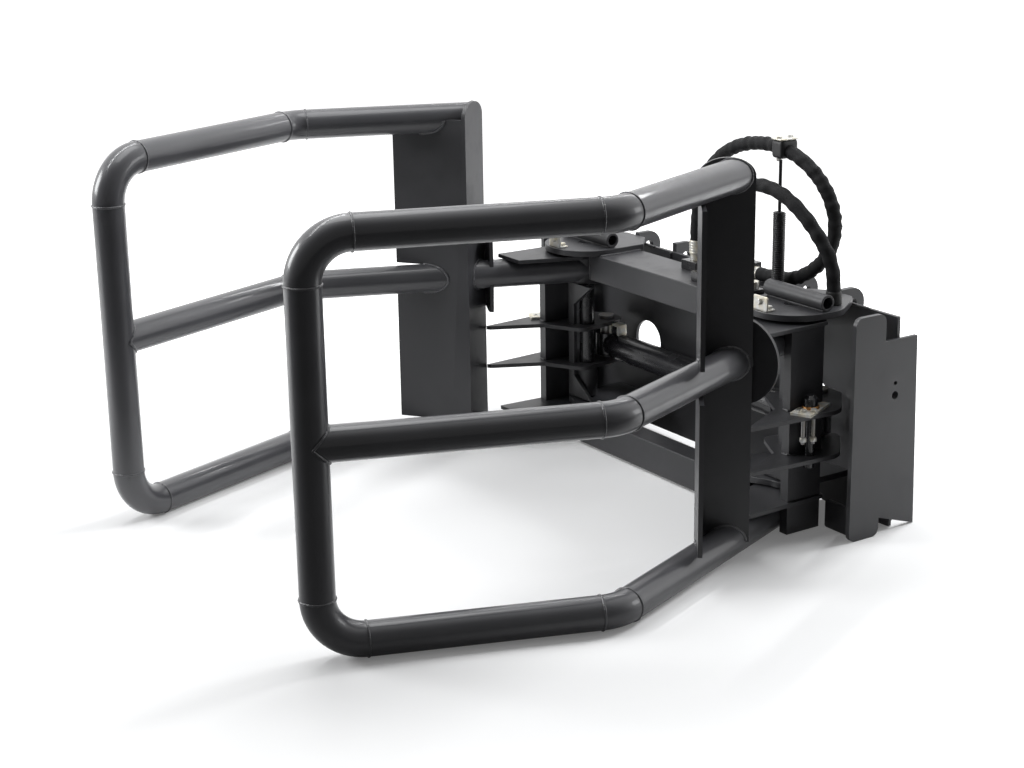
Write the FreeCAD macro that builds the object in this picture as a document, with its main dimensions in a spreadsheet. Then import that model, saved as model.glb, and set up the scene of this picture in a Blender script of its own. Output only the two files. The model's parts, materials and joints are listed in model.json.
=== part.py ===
import FreeCAD, Part
import math
import os
import re

import Sketcher

# A hydraulic bale grapple: two bent-pipe arms that swing on upright pins in a carrying frame,
# closed and opened by one cylinder that lies across the frame behind the pins.
# Frame of the part: millimetres, +Z up, the arms reach forward along -Y, origin on the floor
# under the middle of the whole grapple.

doc = FreeCAD.newDocument("bale_grapple")
sheet = doc.addObject("Spreadsheet::Sheet", "sizes")

DRIVING = [
    # Pipe of the arms
    ("pipe_outer", 73.0),
    ("pipe_wall", 5.2),
    ("elbow_radius", 95.25),
    # Plan of one arm, from its pivot forward
    ("pivot_x", 401.7),
    ("pivot_y", 542.5),
    ("rear_length", 753.6),
    ("rear_angle", 21.74),
    ("front_length", 614.0),
    ("front_angle", 20.3),
    # Heights of the three rails
    ("top_rail_z", 860.6),
    ("middle_rail_z", 449.4),
    # Post of folded plate between the rails
    ("post_x", 462.0),
    ("post_y", 214.5),
    ("post_angle", 36.5),
    ("post_wide", 198.0),
    ("post_deep", 121.0),
    ("post_plate", 10.0),
    ("post_cap", 2.9),
    # Collar behind the post
    ("collar_radius", 125.0),
    ("collar_plate", 10.0),
    ("collar_chord", 28.0),
    # Hinge end of the arm
    ("hub_outer", 71.0),
    ("pin_diameter", 40.0),
    ("pin_fit", 0.05),
    ("bar_x", 472.0),
    ("bar_y", 457.5),
    ("bar_wide", 25.0),
    ("bar_deep", 97.0),
    ("bar_foot", 4.0),
    ("gusset_plate", 10.0),
    ("gusset_front", 206.0),
    ("gusset_inner", 10.0),
    ("gusset_outer", 108.0),
    ("gusset_rim", 5.0),
    ("hub_rim", 15.0),
    ("link_nose", 11.0),
    ("link_seat", 1.5),
    ("link_side", 56.0),
    ("link_rear", 8.0),
    ("link_front", 12.0),
    ("link_rim", 17.0),
    ("link_round", 60.0),
    ("upper_link_z", 290.0),
    ("lower_link_z", 185.0),
    ("sleeve_outer", 54.0),
    ("web_front", 504.0),
    ("web_plate", 10.0),
    ("web_inner", 330.0),
    ("web_strip_x", 407.0),
    ("web_strip_wide", 25.0),
    ("web_corner", 58.0),
    # Lever pin of the cylinder, measured from the pivot
    ("lever_side", 15.9),
    ("lever_back", 75.0),
    ("lever_pin", 32.0),
    ("lever_boss", 36.0),
    ("lever_under", 14.0),
    ("lever_head", 42.0),
    ("lever_head_high", 8.0),
    # Lock pin at the outside of the hinge end
    ("lock_x", 515.0),
    ("lock_y", 502.5),
    ("lock_pin", 25.0),
    ("lock_head", 34.0),
    ("lock_head_high", 30.0),
    ("lock_crown", 8.0),
    ("lock_under", 20.0),
    ("flag_long", 110.0),
    ("flag_wide", 50.0),
    ("flag_plate", 6.0),
    ("flag_turn", 24.8),
    ("flag_bolt", 10.0),
    ("flag_bolt_space", 76.0),
    # Carrying frame
    ("beam_end_gap", 63.7),
    ("beam_wall", 6.0),
    ("top_beam_y", 507.5),
    ("top_beam_deep", 130.0),
    ("top_beam_high", 70.0),
    ("low_beam_y", 465.0),
    ("low_beam_deep", 60.0),
    ("low_beam_z", 6.0),
    ("hinge_plate", 15.0),
    ("hinge_radius", 108.0),
    ("hinge_round", 60.0),
    ("hinge_gap", 7.1),
    ("low_hinge_gap", 3.0),
    ("low_hinge_radius", 48.0),
    ("low_hinge_inner", 230.0),
    ("back_plate", 10.0),
    ("back_y", 687.5),
    ("back_foot", 15.0),
    ("back_hole", 106.0),
    ("back_hole_x", 326.0),
    ("back_hole_z", 245.0),
    ("cheek_x", 600.0),
    ("cheek_plate", 12.0),
    ("cheek_y", 542.5),
    ("cheek_deep", 90.0),
    ("cheek_top", 525.0),
    ("cheek_round", 20.0),
    ("wall_inner", 545.0),
    ("wall_plate", 8.0),
    ("hitch_plate", 10.0),
    ("hitch_rear", 742.5),
    ("hitch_foot_rear", 754.5),
    ("hitch_top", 455.0),
    ("hitch_foot_rise", 40.0),
    ("hitch_hole", 18.0),
    ("hitch_hole_y", 679.5),
    ("hitch_hole_z", 324.0),
    ("hitch_small_hole", 9.0),
    # Hitch lugs
    ("lug_y", 732.0),
    ("lug_z", 486.5),
    ("lug_low_z", 95.0),
    ("lug_radius", 38.0),
    ("lug_hole", 26.0),
    ("lug_plate", 15.0),
    ("lug_outer_x", 389.0),
    ("lug_inner_x", 230.0),
    # Guide tubes on the top hinge plates
    ("guide_outer", 38.0),
    ("guide_bore", 26.0),
    ("guide_inner_x", 305.0),
    ("guide_outer_x", 504.0),
    ("guide_y", 555.5),
    # Hydraulic cylinder
    ("barrel_outer", 70.0),
    ("barrel_bore", 60.0),
    ("barrel_z", 231.5),
    ("barrel_start", 370.0),
    ("barrel_end", 265.0),
    ("base_cap", 22.0),
    ("gland_outer", 76.0),
    ("gland_long", 30.0),
    ("gland_insert", 24.0),
    ("gland_crown", 4.0),
    ("neck_step", 8.0),
    ("rod_diameter", 36.0),
    ("piston_long", 28.0),
    ("piston_x", 120.0),
    ("slide_gap", 0.3),
    ("eye_radius", 30.0),
    ("eye_high", 60.0),
    ("open_eye_gap", 1.0),
    # Hoses and what holds them
    ("hose_diameter", 32.0),
    ("support_inset", 63.0),
    ("support_rear", 30.0),
    ("spring_outer", 30.0),
    ("spring_bore", 20.0),
    ("spring_high", 200.0),
    ("support_rod", 8.0),
    ("support_foot", 12.0),
    ("clamp_inner", 46.0),
    ("clamp_wide", 56.0),
    ("clamp_front", 11.5),
    ("clamp_deep", 74.0),
    ("clamp_z", 823.0),
    ("clamp_high", 44.0),
    ("clamp_round", 6.0),
    ("clamp_bolt", 10.0),
    ("clamp_nut", 17.0),
    ("clamp_nut_high", 7.0),
    ("block_wide", 56.0),
    ("block_deep", 44.0),
    ("block_high", 24.0),
    ("block_front", 25.0),
    ("end_block_wide", 40.0),
    ("plug_x", 266.0),
    ("plug_y", 538.0),
    ("fitting_outer", 30.0),
    ("fitting_long", 18.0),
]


def word(name):
    """Gives one driving size back from the sheet as a plain number."""
    return float(sheet.get(name))


for row, (name, number) in enumerate(DRIVING, start=1):
    sheet.set(f"A{row}", name.replace("_", " "))
    sheet.set(f"B{row}", str(number))
    sheet.setAlias(f"B{row}", name)
doc.recompute()

NAMES = {name for name, number in DRIVING}
NODES = {}


def bound(text):
    """Turns a formula of size names into an expression on the sheet."""
    return re.sub(r"[a-z_]+", lambda found: "sizes." + found[0] if found[0] in NAMES else found[0], text)


def plane_of(body, role):
    """Finds one of a body's own origin planes."""
    return [item for item in body.Origin.OriginFeatures if item.Role == role][0]


def new_body(label):
    body = doc.addObject("PartDesign::Body", label)
    body.Label = label
    return body


def new_sketch(body, role):
    sketch = body.newObject("Sketcher::SketchObject", body.Name + "_sketch")
    sketch.AttachmentSupport = [(plane_of(body, role), "")]
    sketch.MapMode = "FlatFace"
    return sketch


def place_point(sketch, curve, end, formulas, tag):
    """Ties one sketch point to its two formulas."""
    for kind, axis, formula in (("DistanceX", -2, formulas[0]), ("DistanceY", -1, formulas[1])):
        if formula == "0":
            sketch.addConstraint(Sketcher.Constraint("PointOnObject", curve, end, axis))
            continue
        number = sketch.addConstraint(Sketcher.Constraint(kind, curve, end, 10.0))
        title = f"{tag}_{kind[-1]}"
        sketch.renameConstraint(number, title)
        sketch.setExpression("Constraints." + title, bound(formula))


def draw_polygon(sketch, corners, tag):
    """Closed outline of straight lines with every corner tied to formulas."""
    count = len(corners)
    turn = 2 * math.pi / count
    guess = [FreeCAD.Vector(10 * math.cos(turn * i), 10 * math.sin(turn * i), 0) for i in range(count)]
    first = len(sketch.Geometry)
    for i in range(count):
        sketch.addGeometry(Part.LineSegment(guess[i], guess[(i + 1) % count]), False)
    for i in range(count):
        following = first + (i + 1) % count
        sketch.addConstraint(Sketcher.Constraint("Coincident", first + i, 2, following, 1))
    for i, corner in enumerate(corners):
        place_point(sketch, first + i, 1, corner, f"{tag}{i}")


def draw_circle(sketch, centre, diameter, tag):
    """Circle with its centre and diameter tied to formulas."""
    circle = Part.Circle(FreeCAD.Vector(10, 10, 0), FreeCAD.Vector(0, 0, 1), 5)
    curve = sketch.addGeometry(circle, False)
    place_point(sketch, curve, 3, centre, tag)
    number = sketch.addConstraint(Sketcher.Constraint("Diameter", curve, 10.0))
    sketch.renameConstraint(number, tag + "_size")
    sketch.setExpression(f"Constraints.{tag}_size", bound(diameter))


def pad_sketch(body, sketch, depth):
    pad = body.newObject("PartDesign::Pad", body.Name + "_pad")
    pad.Profile = sketch
    pad.setExpression("Length", bound(depth))
    return pad


def round_edges(body, feature, points, radius, role):
    """Rounds the edges that run through the given outline corners."""
    flat = {"XY_Plane": (0, 1), "XZ_Plane": (0, 2), "YZ_Plane": (1, 2)}[role]
    names = []
    for number, edge in enumerate(feature.Shape.Edges, start=1):
        ends = [vertex.Point for vertex in edge.Vertexes]
        for point in points:
            near = [math.hypot(end[flat[0]] - point.x, end[flat[1]] - point.y) < 0.01 for end in ends]
            if len(near) == 2 and all(near):
                names.append(f"Edge{number}")
    fillet = body.newObject("PartDesign::Fillet", body.Name + "_round")
    fillet.Base = (feature, names)
    fillet.setExpression("Radius", bound(radius))
    return fillet


def plate(label, role, corners, depth, offset, holes=(), windows=(), rounds=()):
    """Flat plate cut from an outline; offset moves it along its own normal.

    The outline lies in the XY, XZ or YZ plane. Plates in XY grow up from the offset, plates in YZ
    grow along +X from it, and plates in XZ grow along -Y from it.
    """
    body = new_body(label)
    sketch = new_sketch(body, role)
    draw_polygon(sketch, corners, "corner")
    for i, window in enumerate(windows):
        draw_polygon(sketch, window, f"window{'abcdef'[i]}")
    for i, (centre, diameter) in enumerate(holes):
        draw_circle(sketch, centre, diameter, f"hole{'abcdef'[i]}")
    feature = pad_sketch(body, sketch, depth)
    doc.recompute()
    outline = [sketch.Geometry[i].StartPoint for i in range(len(corners))]
    for indexes, radius in rounds:
        feature = round_edges(body, feature, [outline[i] for i in indexes], radius, role)
        doc.recompute()
    normal = {"XY_Plane": "z", "XZ_Plane": "y", "YZ_Plane": "x"}[role]
    body.setExpression("Placement.Base." + normal, bound(offset))
    NODES[label] = body
    return body


def turned(label, profile, at, along="z"):
    """Solid turned from a profile of radius and height formulas, set up on a point."""
    body = new_body(label)
    sketch = new_sketch(body, "XZ_Plane")
    draw_polygon(sketch, profile, "turn")
    revolve = body.newObject("PartDesign::Revolution", body.Name + "_revolve")
    revolve.Profile = sketch
    revolve.ReferenceAxis = (sketch, ["V_Axis"])
    revolve.Angle = 360
    if along == "x":
        body.Placement = FreeCAD.Placement(FreeCAD.Vector(), FreeCAD.Rotation(FreeCAD.Vector(0, 1, 0), 90))
    for axis, formula in zip("xyz", at):
        body.setExpression("Placement.Base." + axis, bound(formula))
    NODES[label] = body
    return body


def cut_cylinder(body, name, base, direction, radius, length):
    """Takes a straight round hole out of a body, from base along direction."""
    hole = body.newObject("PartDesign::SubtractiveCylinder", body.Name + "_" + name)
    hole.setExpression("Radius", bound(radius))
    hole.setExpression("Height", bound(length))
    hole.Placement = FreeCAD.Placement(base, FreeCAD.Rotation(FreeCAD.Vector(0, 0, 1), direction))
    return hole


def mirrored(label, source):
    """Left-hand twin of a right-hand piece, across the middle plane."""
    twin = doc.addObject("Part::Mirroring", label)
    twin.Label = label
    twin.Source = source
    twin.Base = FreeCAD.Vector(0, 0, 0)
    twin.Normal = FreeCAD.Vector(1, 0, 0)
    NODES[label] = twin
    return twin


def grouped(label, pieces):
    """Separate solids that share one node."""
    group = doc.addObject("Part::Compound", label)
    group.Label = label
    group.Links = pieces
    for piece in pieces:
        NODES.pop(piece.Label, None)
    NODES[label] = group
    return group


def fused(label, pieces):
    """Pieces welded into one solid."""
    whole = doc.addObject("Part::MultiFuse", label)
    whole.Label = label
    whole.Shapes = pieces
    for piece in pieces:
        NODES.pop(piece.Label, None)
    NODES[label] = whole
    return whole


# Points of the arm's plan that many pieces share
VERTEX = ("(pivot_x + rear_length * sin(rear_angle))", "(pivot_y - rear_length * cos(rear_angle))")
TIP = (f"({VERTEX[0]} - front_length * sin(front_angle))",
       f"({VERTEX[1]} - front_length * cos(front_angle))")
LEVER = ("(pivot_x + lever_side)", "(pivot_y + lever_back)")
BEAM_HALF = "(pivot_x - beam_end_gap)"
SUPPORT = (f"({BEAM_HALF} - support_inset)", "(top_beam_y + top_beam_deep - support_rear)")
BOTTOM_RAIL_Z = "(pipe_outer / 2)"
PIPE_BORE = "(pipe_outer - 2 * pipe_wall)"
TOP_GUSSET_Z = "(middle_rail_z + pipe_outer / 2)"
LOW_GUSSET_Z = "pipe_outer"
TOP_HINGE_Z = f"({TOP_GUSSET_Z} + gusset_plate + hinge_gap)"
LOW_HINGE_Z = f"({LOW_GUSSET_Z} + gusset_plate + low_hinge_gap)"
WEB_FOOT_Z = f"({LOW_HINGE_Z} + hinge_plate + low_hinge_gap)"
HOLE_PIN = "(pin_diameter + 2 * pin_fit)"

rear_turn = math.radians(word("rear_angle"))
front_turn = math.radians(word("front_angle"))
pivot = FreeCAD.Vector(word("pivot_x"), word("pivot_y"), 0)
to_vertex = FreeCAD.Vector(math.sin(rear_turn), -math.cos(rear_turn), 0)
to_pivot = to_vertex * -1
vertex = pivot + to_vertex * word("rear_length")
to_tip = FreeCAD.Vector(-math.sin(front_turn), -math.cos(front_turn), 0)
tip = vertex + to_tip * word("front_length")
up = FreeCAD.Vector(0, 0, 1)
post_turn = math.radians(word("post_angle"))
post_corner = FreeCAD.Vector(word("post_x"), word("post_y"), 0)
post_side = FreeCAD.Vector(math.cos(post_turn), -math.sin(post_turn), 0)
post_back = FreeCAD.Vector(math.sin(post_turn), math.cos(post_turn), 0)
rail_heights = {
    "top": word("top_rail_z"),
    "middle": word("middle_rail_z"),
    "bottom": word("pipe_outer") / 2,
}
post_crossing = (vertex - post_corner).cross(to_pivot).z / post_side.cross(to_pivot).z


def rail(label, level, rear_end, front_end):
    """Bent pipe: a straight from the rear, one tangent bend at the vertex, a straight to the front.

    rear_end is how far behind the pivot side the pipe starts and front_end how far it stops before
    the axis of the end tube.
    """
    body = new_body(label)
    half = (rear_turn + front_turn) / 2
    setback = word("elbow_radius") * math.tan(half)
    path = new_sketch(body, "XY_Plane")
    start = vertex + to_pivot * (word("rear_length") - rear_end)
    bend_in = vertex + to_pivot * setback
    bend_out = vertex + to_tip * setback
    finish = vertex + to_tip * (word("front_length") - front_end)
    inward = (to_pivot + to_tip).normalize()
    centre = vertex + inward * (word("elbow_radius") / math.cos(half))
    middle = centre - inward * word("elbow_radius")
    path.addGeometry(Part.LineSegment(start, bend_in), False)
    path.addGeometry(Part.Arc(bend_in, middle, bend_out), False)
    path.addGeometry(Part.LineSegment(bend_out, finish), False)
    ring = body.newObject("Sketcher::SketchObject", body.Name + "_ring")
    ring.AttachmentSupport = [(path, "Edge1")]
    ring.MapMode = "NormalToEdge"
    ring.MapPathParameter = 0
    draw_circle(ring, ("0", "0"), "pipe_outer", "outside")
    draw_circle(ring, ("0", "0"), PIPE_BORE, "bore")
    pipe = body.newObject("PartDesign::AdditivePipe", body.Name + "_pipe")
    pipe.Profile = ring
    pipe.Spine = (path, ["Edge1", "Edge2", "Edge3"])
    body.Placement = FreeCAD.Placement(FreeCAD.Vector(0, 0, rail_heights[level]), FreeCAD.Rotation())
    NODES[label] = body
    doc.recompute()
    return body


def make_rails():
    """The three rails of the right arm, shaped where they meet the hub, the post and the end tube."""
    top = rail("top_rail_right", "top", word("rear_length") / 4, word("elbow_radius"))
    trim = top.newObject("PartDesign::SubtractiveBox", "top_rail_trim")
    reach = word("pipe_outer") * 4
    face = post_corner + post_side * word("post_plate") - post_back * reach / 2
    trim.Length = 3 * reach
    trim.Width = reach
    trim.Height = reach
    facing = FreeCAD.Rotation(post_back, post_side * -1, up, "XYZ")
    trim.Placement = FreeCAD.Placement(face - up * reach / 2, facing)
    for label, level in (("middle_rail_right", "middle"), ("bottom_rail_right", "bottom")):
        front_end = 0 if level == "middle" else word("elbow_radius")
        body = rail(label, level, 0, front_end)
        cut_cylinder(body, "hub_cope", pivot - up * word("hub_outer"), up, "hub_outer / 2",
                     "hub_outer * 2")
        if level == "middle":
            cut_cylinder(body, "tube_cope", tip - up * word("pipe_outer"), up, "pipe_outer / 2",
                         "pipe_outer * 2")


def make_front_end():
    """Upright tube at the front with an elbow at each end."""
    low = f"({BOTTOM_RAIL_Z} + elbow_radius)"
    tube = new_body("end_tube_right")
    sketch = new_sketch(tube, "XY_Plane")
    draw_circle(sketch, ("0", "0"), "pipe_outer", "outside")
    draw_circle(sketch, ("0", "0"), PIPE_BORE, "bore")
    pad_sketch(tube, sketch, f"top_rail_z - elbow_radius - {low}")
    for axis, formula in zip("xyz", (TIP[0], TIP[1], low)):
        tube.setExpression("Placement.Base." + axis, bound(formula))
    NODES["end_tube_right"] = tube
    elbows = []
    for name, height, sign in (("upper", rail_heights["top"], -1), ("lower", rail_heights["bottom"], 1)):
        centre = tip - to_tip * word("elbow_radius") + up * (height + sign * word("elbow_radius"))
        turn_x = to_tip
        turn_y = up * -sign
        shells = []
        for shell, radius in (("outside", "pipe_outer / 2"), ("bore", "pipe_outer / 2 - pipe_wall")):
            torus = doc.addObject("Part::Torus", f"elbow_{name}_{shell}")
            torus.setExpression("Radius1", "sizes.elbow_radius")
            torus.setExpression("Radius2", bound(radius))
            torus.Angle3 = 90
            facing = FreeCAD.Rotation(turn_x, turn_y, turn_x.cross(turn_y), "XYZ")
            torus.Placement = FreeCAD.Placement(centre, facing)
            shells.append(torus)
        elbow = doc.addObject("Part::Cut", f"elbow_{name}")
        elbow.Base = shells[0]
        elbow.Tool = shells[1]
        elbows.append(elbow)
    grouped("corner_elbows_right", elbows)


def make_post():
    """Folded plate post: the wide leg meets the bale, the deep leg closes the end of the top rail.

    Each rail lies in a slot of the wide leg that is open to the outside of the arm.
    """
    body = new_body("post_right")
    side = ("cos(post_angle)", "-sin(post_angle)")
    back = ("sin(post_angle)", "cos(post_angle)")

    def corner(along_side, along_back):
        return (f"post_x + ({along_side}) * {side[0]} + ({along_back}) * {back[0]}",
                f"post_y + ({along_side}) * ({side[1]}) + ({along_back}) * {back[1]}")

    legs = {
        "wide": [corner("0", "0"), corner("post_wide", "0"), corner("post_wide", "post_plate"),
                 corner("0", "post_plate")],
        "deep": [corner("0", "0"), corner("post_plate", "0"), corner("post_plate", "post_deep"),
                 corner("0", "post_deep")],
    }
    tops = {"wide": "top_rail_z", "deep": "top_rail_z + pipe_outer / 2 + post_cap"}
    cuts = {"wide": ("top", "middle", "bottom"), "deep": ("middle", "bottom")}
    for leg, corners in legs.items():
        sketch = new_sketch(body, "XY_Plane")
        draw_polygon(sketch, corners, leg)
        pad_sketch(body, sketch, f"{tops[leg]} - {BOTTOM_RAIL_Z}")
        for level in cuts[leg]:
            axis_z = rail_heights[level] - rail_heights["bottom"]
            cut_cylinder(body, f"{leg}_{level}", vertex + up * axis_z, to_pivot, "pipe_outer / 2",
                         "rear_length")
            if leg == "deep":
                continue
            slot = body.newObject("PartDesign::SubtractiveBox", f"post_slot_{level}")
            slot.setExpression("Length", bound("post_wide"))
            slot.setExpression("Width", bound("3 * post_plate"))
            slot.setExpression("Height", bound("pipe_outer"))
            start = post_corner + post_side * post_crossing - post_back * word("post_plate")
            slot.Placement = FreeCAD.Placement(start + up * (axis_z - word("pipe_outer") / 2),
                                               FreeCAD.Rotation(post_side, post_back, up, "XYZ"))
    body.setExpression("Placement.Base.z", bound(BOTTOM_RAIL_Z))
    NODES["post_right"] = body


def make_collar():
    """Round stiffening plate on the middle rail, just behind the post."""
    edge = post_corner + post_back * word("post_deep")
    distance = (edge - vertex).dot(to_pivot)
    centre = vertex + to_pivot * distance + up * rail_heights["middle"]
    outward = up.cross(to_pivot) * -1
    body = new_body("collar_right")
    sketch = new_sketch(body, "XY_Plane")
    draw_circle(sketch, ("0", "0"), "2 * collar_radius", "rim")
    draw_circle(sketch, ("0", "0"), "pipe_outer", "bore")
    pad_sketch(body, sketch, "collar_plate")
    trim = body.newObject("PartDesign::SubtractiveBox", "collar_trim")
    size = 2 * word("collar_radius")
    trim.Length = size
    trim.Width = 2 * size
    trim.Height = size
    trim.Placement = FreeCAD.Placement(FreeCAD.Vector(-size - word("collar_chord"), -size, -size / 2),
                                       FreeCAD.Rotation())
    facing = FreeCAD.Rotation(outward, to_pivot.cross(outward), to_pivot, "XYZ")
    body.Placement = FreeCAD.Placement(centre, facing)
    NODES["collar_right"] = body


def make_hinge_end():
    """Bar, gussets, hubs and web that join the pipes of one arm to its pivot."""
    pin_hole = (("pivot_x", "pivot_y"), HOLE_PIN)
    clear_hole = (("pivot_x", "pivot_y"), "pin_diameter + 2")
    hub_gusset = [
        ("pivot_x + gusset_inner", "pivot_y - gusset_front"),
        ("pivot_x + gusset_outer", "pivot_y - gusset_front"),
        ("bar_x + bar_wide + gusset_rim", "bar_y + bar_deep + gusset_rim"),
        ("pivot_x + hub_outer / 2", "pivot_y + hub_outer / 2 + hub_rim"),
        ("pivot_x - hub_outer / 2 - hub_rim", "pivot_y + hub_outer / 2 + hub_rim"),
        ("pivot_x - hub_outer / 2 - hub_rim", "pivot_y - hub_outer / 2 - hub_rim"),
    ]
    gussets = [plate(label, "XY_Plane", hub_gusset, "gusset_plate", level, holes=[pin_hole],
                     rounds=[([3, 4, 5], "hub_outer / 2")])
               for label, level in (("top_gusset", TOP_GUSSET_Z), ("bottom_gusset", LOW_GUSSET_Z))]
    grouped("hinge_gussets_right", gussets)

    bar_slot = [("bar_x", "bar_y"), ("bar_x + bar_wide", "bar_y"),
                ("bar_x + bar_wide", "bar_y + bar_deep"), ("bar_x", "bar_y + bar_deep")]
    web_slot = [("web_strip_x", "web_front"), ("web_strip_x + web_strip_wide", "web_front"),
                ("web_strip_x + web_strip_wide", "web_front + web_plate"),
                ("web_strip_x", "web_front + web_plate")]
    lever_hole = (LEVER, "lever_pin + 2 * pin_fit")
    lock_hole = (("lock_x", "lock_y"), "lock_pin + 2 * pin_fit")
    link_outline = [
        ("post_x + post_deep * sin(post_angle) - link_nose * cos(post_angle)",
         "post_y + post_deep * cos(post_angle) + link_nose * sin(post_angle)"),
        ("post_x + (post_deep + link_seat) * sin(post_angle)",
         "post_y + (post_deep + link_seat) * cos(post_angle)"),
        ("bar_x + bar_wide + link_side", "bar_y + bar_deep + link_rear"),
        (f"{LEVER[0]} + lever_boss", f"{LEVER[1]} + lever_boss"),
        (f"{LEVER[0]} - lever_boss", f"{LEVER[1]} + lever_boss"),
        ("pivot_x - sleeve_outer / 2 - link_rim", "pivot_y - sleeve_outer / 2 - link_rim"),
        ("bar_x - link_front", "bar_y - link_front"),
    ]
    links = [plate(label, "XY_Plane", link_outline, "gusset_plate", level,
                   holes=[clear_hole, lever_hole, lock_hole], windows=[bar_slot, web_slot],
                   rounds=[([2], "link_round"), ([3, 4], "lever_boss - 1"), ([5], "link_round / 2")])
             for label, level in (("upper_link", "upper_link_z"), ("lower_link", "lower_link_z"))]
    grouped("link_plates_right", links)

    bar = plate("hinge_bar_right", "XY_Plane", bar_slot, f"{TOP_GUSSET_Z} - bar_foot", "bar_foot")
    for level in ("middle", "bottom"):
        base = vertex + up * (rail_heights[level] - word("bar_foot"))
        cut_cylinder(bar, level + "_cope", base, to_pivot, "pipe_outer / 2", "rear_length")
    low = bar.newObject("PartDesign::SubtractiveBox", "bar_low_gusset_slot")
    low.Length = word("bar_wide") * 3
    low.Width = word("bar_deep") * 2
    low.Height = word("gusset_plate")
    low.Placement = FreeCAD.Placement(
        FreeCAD.Vector(word("bar_x") - word("bar_wide"), word("bar_y") - word("bar_deep") / 2,
                       word("pipe_outer") - word("bar_foot")), FreeCAD.Rotation())

    strip = "web_strip_x + web_strip_wide"
    web_top = "middle_rail_z - pipe_outer / 2"
    plate("hinge_web_right", "XZ_Plane",
          [(strip, WEB_FOOT_Z), (strip, web_top), ("web_inner", web_top),
           ("web_strip_x", f"{web_top} - web_corner"), ("web_strip_x", f"{WEB_FOOT_Z} + web_corner"),
           ("web_inner", WEB_FOOT_Z)],
          "web_plate", "web_front + web_plate")

    def sleeve(label, outer, low_z, high_z):
        return turned(label, [(f"{HOLE_PIN} / 2", "0"), (f"{outer} / 2", "0"),
                              (f"{outer} / 2", f"{high_z} - ({low_z})"),
                              (f"{HOLE_PIN} / 2", f"{high_z} - ({low_z})")],
                      ("pivot_x", "pivot_y", low_z))

    hubs = [sleeve("upper_hub", "hub_outer", "middle_rail_z - pipe_outer / 2", TOP_GUSSET_Z),
            sleeve("lower_hub", "hub_outer", "0.5", LOW_GUSSET_Z),
            sleeve("middle_sleeve", "sleeve_outer", WEB_FOOT_Z, "lower_link_z")]
    grouped("pivot_hubs_right", hubs)


def make_lock_pin():
    """Pin through both link plates with its flag plate and two bolts."""
    length = "(upper_link_z + gusset_plate + flag_plate + lock_under - lower_link_z)"
    head_top = f"{length} + lock_head_high"
    turned("lock_pin_right",
           [("0", "0"), ("lock_pin / 2", "0"), ("lock_pin / 2", length), ("lock_head / 2", length),
            ("lock_head / 2", f"{head_top} - lock_crown"), ("lock_head / 2 - lock_crown", head_top),
            ("0", head_top)],
           ("lock_x", "lock_y", "lower_link_z - lock_under"))
    flag = new_body("flag_blank")
    sketch = new_sketch(flag, "XY_Plane")
    long = "flag_long / 2"
    wide = "flag_wide / 2"
    draw_polygon(sketch, [(f"-{wide}", f"-{long}"), (wide, f"-{long}"), (wide, long), (f"-{wide}", long)],
                 "corner")
    draw_circle(sketch, ("0", "0"), "lock_pin + 2 * pin_fit", "bore")
    for tag, place in (("front", "-flag_bolt_space / 2"), ("rear", "flag_bolt_space / 2")):
        draw_circle(sketch, ("0", place), "flag_bolt + 2 * pin_fit", tag)
    pad_sketch(flag, sketch, "flag_plate")
    turn = FreeCAD.Rotation(up, word("flag_turn"))
    flag.Placement = FreeCAD.Placement(FreeCAD.Vector(), turn)
    for axis, formula in zip("xyz", ("lock_x", "lock_y", "upper_link_z + gusset_plate")):
        flag.setExpression("Placement.Base." + axis, bound(formula))
    notch = doc.addObject("Part::Box", "flag_notch")
    notch.setExpression("Length", bound("flag_wide + bar_wide + slide_gap"))
    notch.setExpression("Width", bound("bar_deep + 2 * slide_gap"))
    notch.setExpression("Height", bound("flag_plate * 3"))
    for axis, formula in zip("xyz", ("bar_x - flag_wide", "bar_y - slide_gap", "upper_link_z")):
        notch.setExpression("Placement.Base." + axis, bound(formula))
    notched = doc.addObject("Part::Cut", "flag_plate_right")
    notched.Label = "flag_plate_right"
    notched.Base = flag
    notched.Tool = notch
    NODES["flag_plate_right"] = notched


def make_right_arm():
    make_rails()
    make_front_end()
    make_post()
    make_collar()
    make_hinge_end()
    make_lock_pin()


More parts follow.
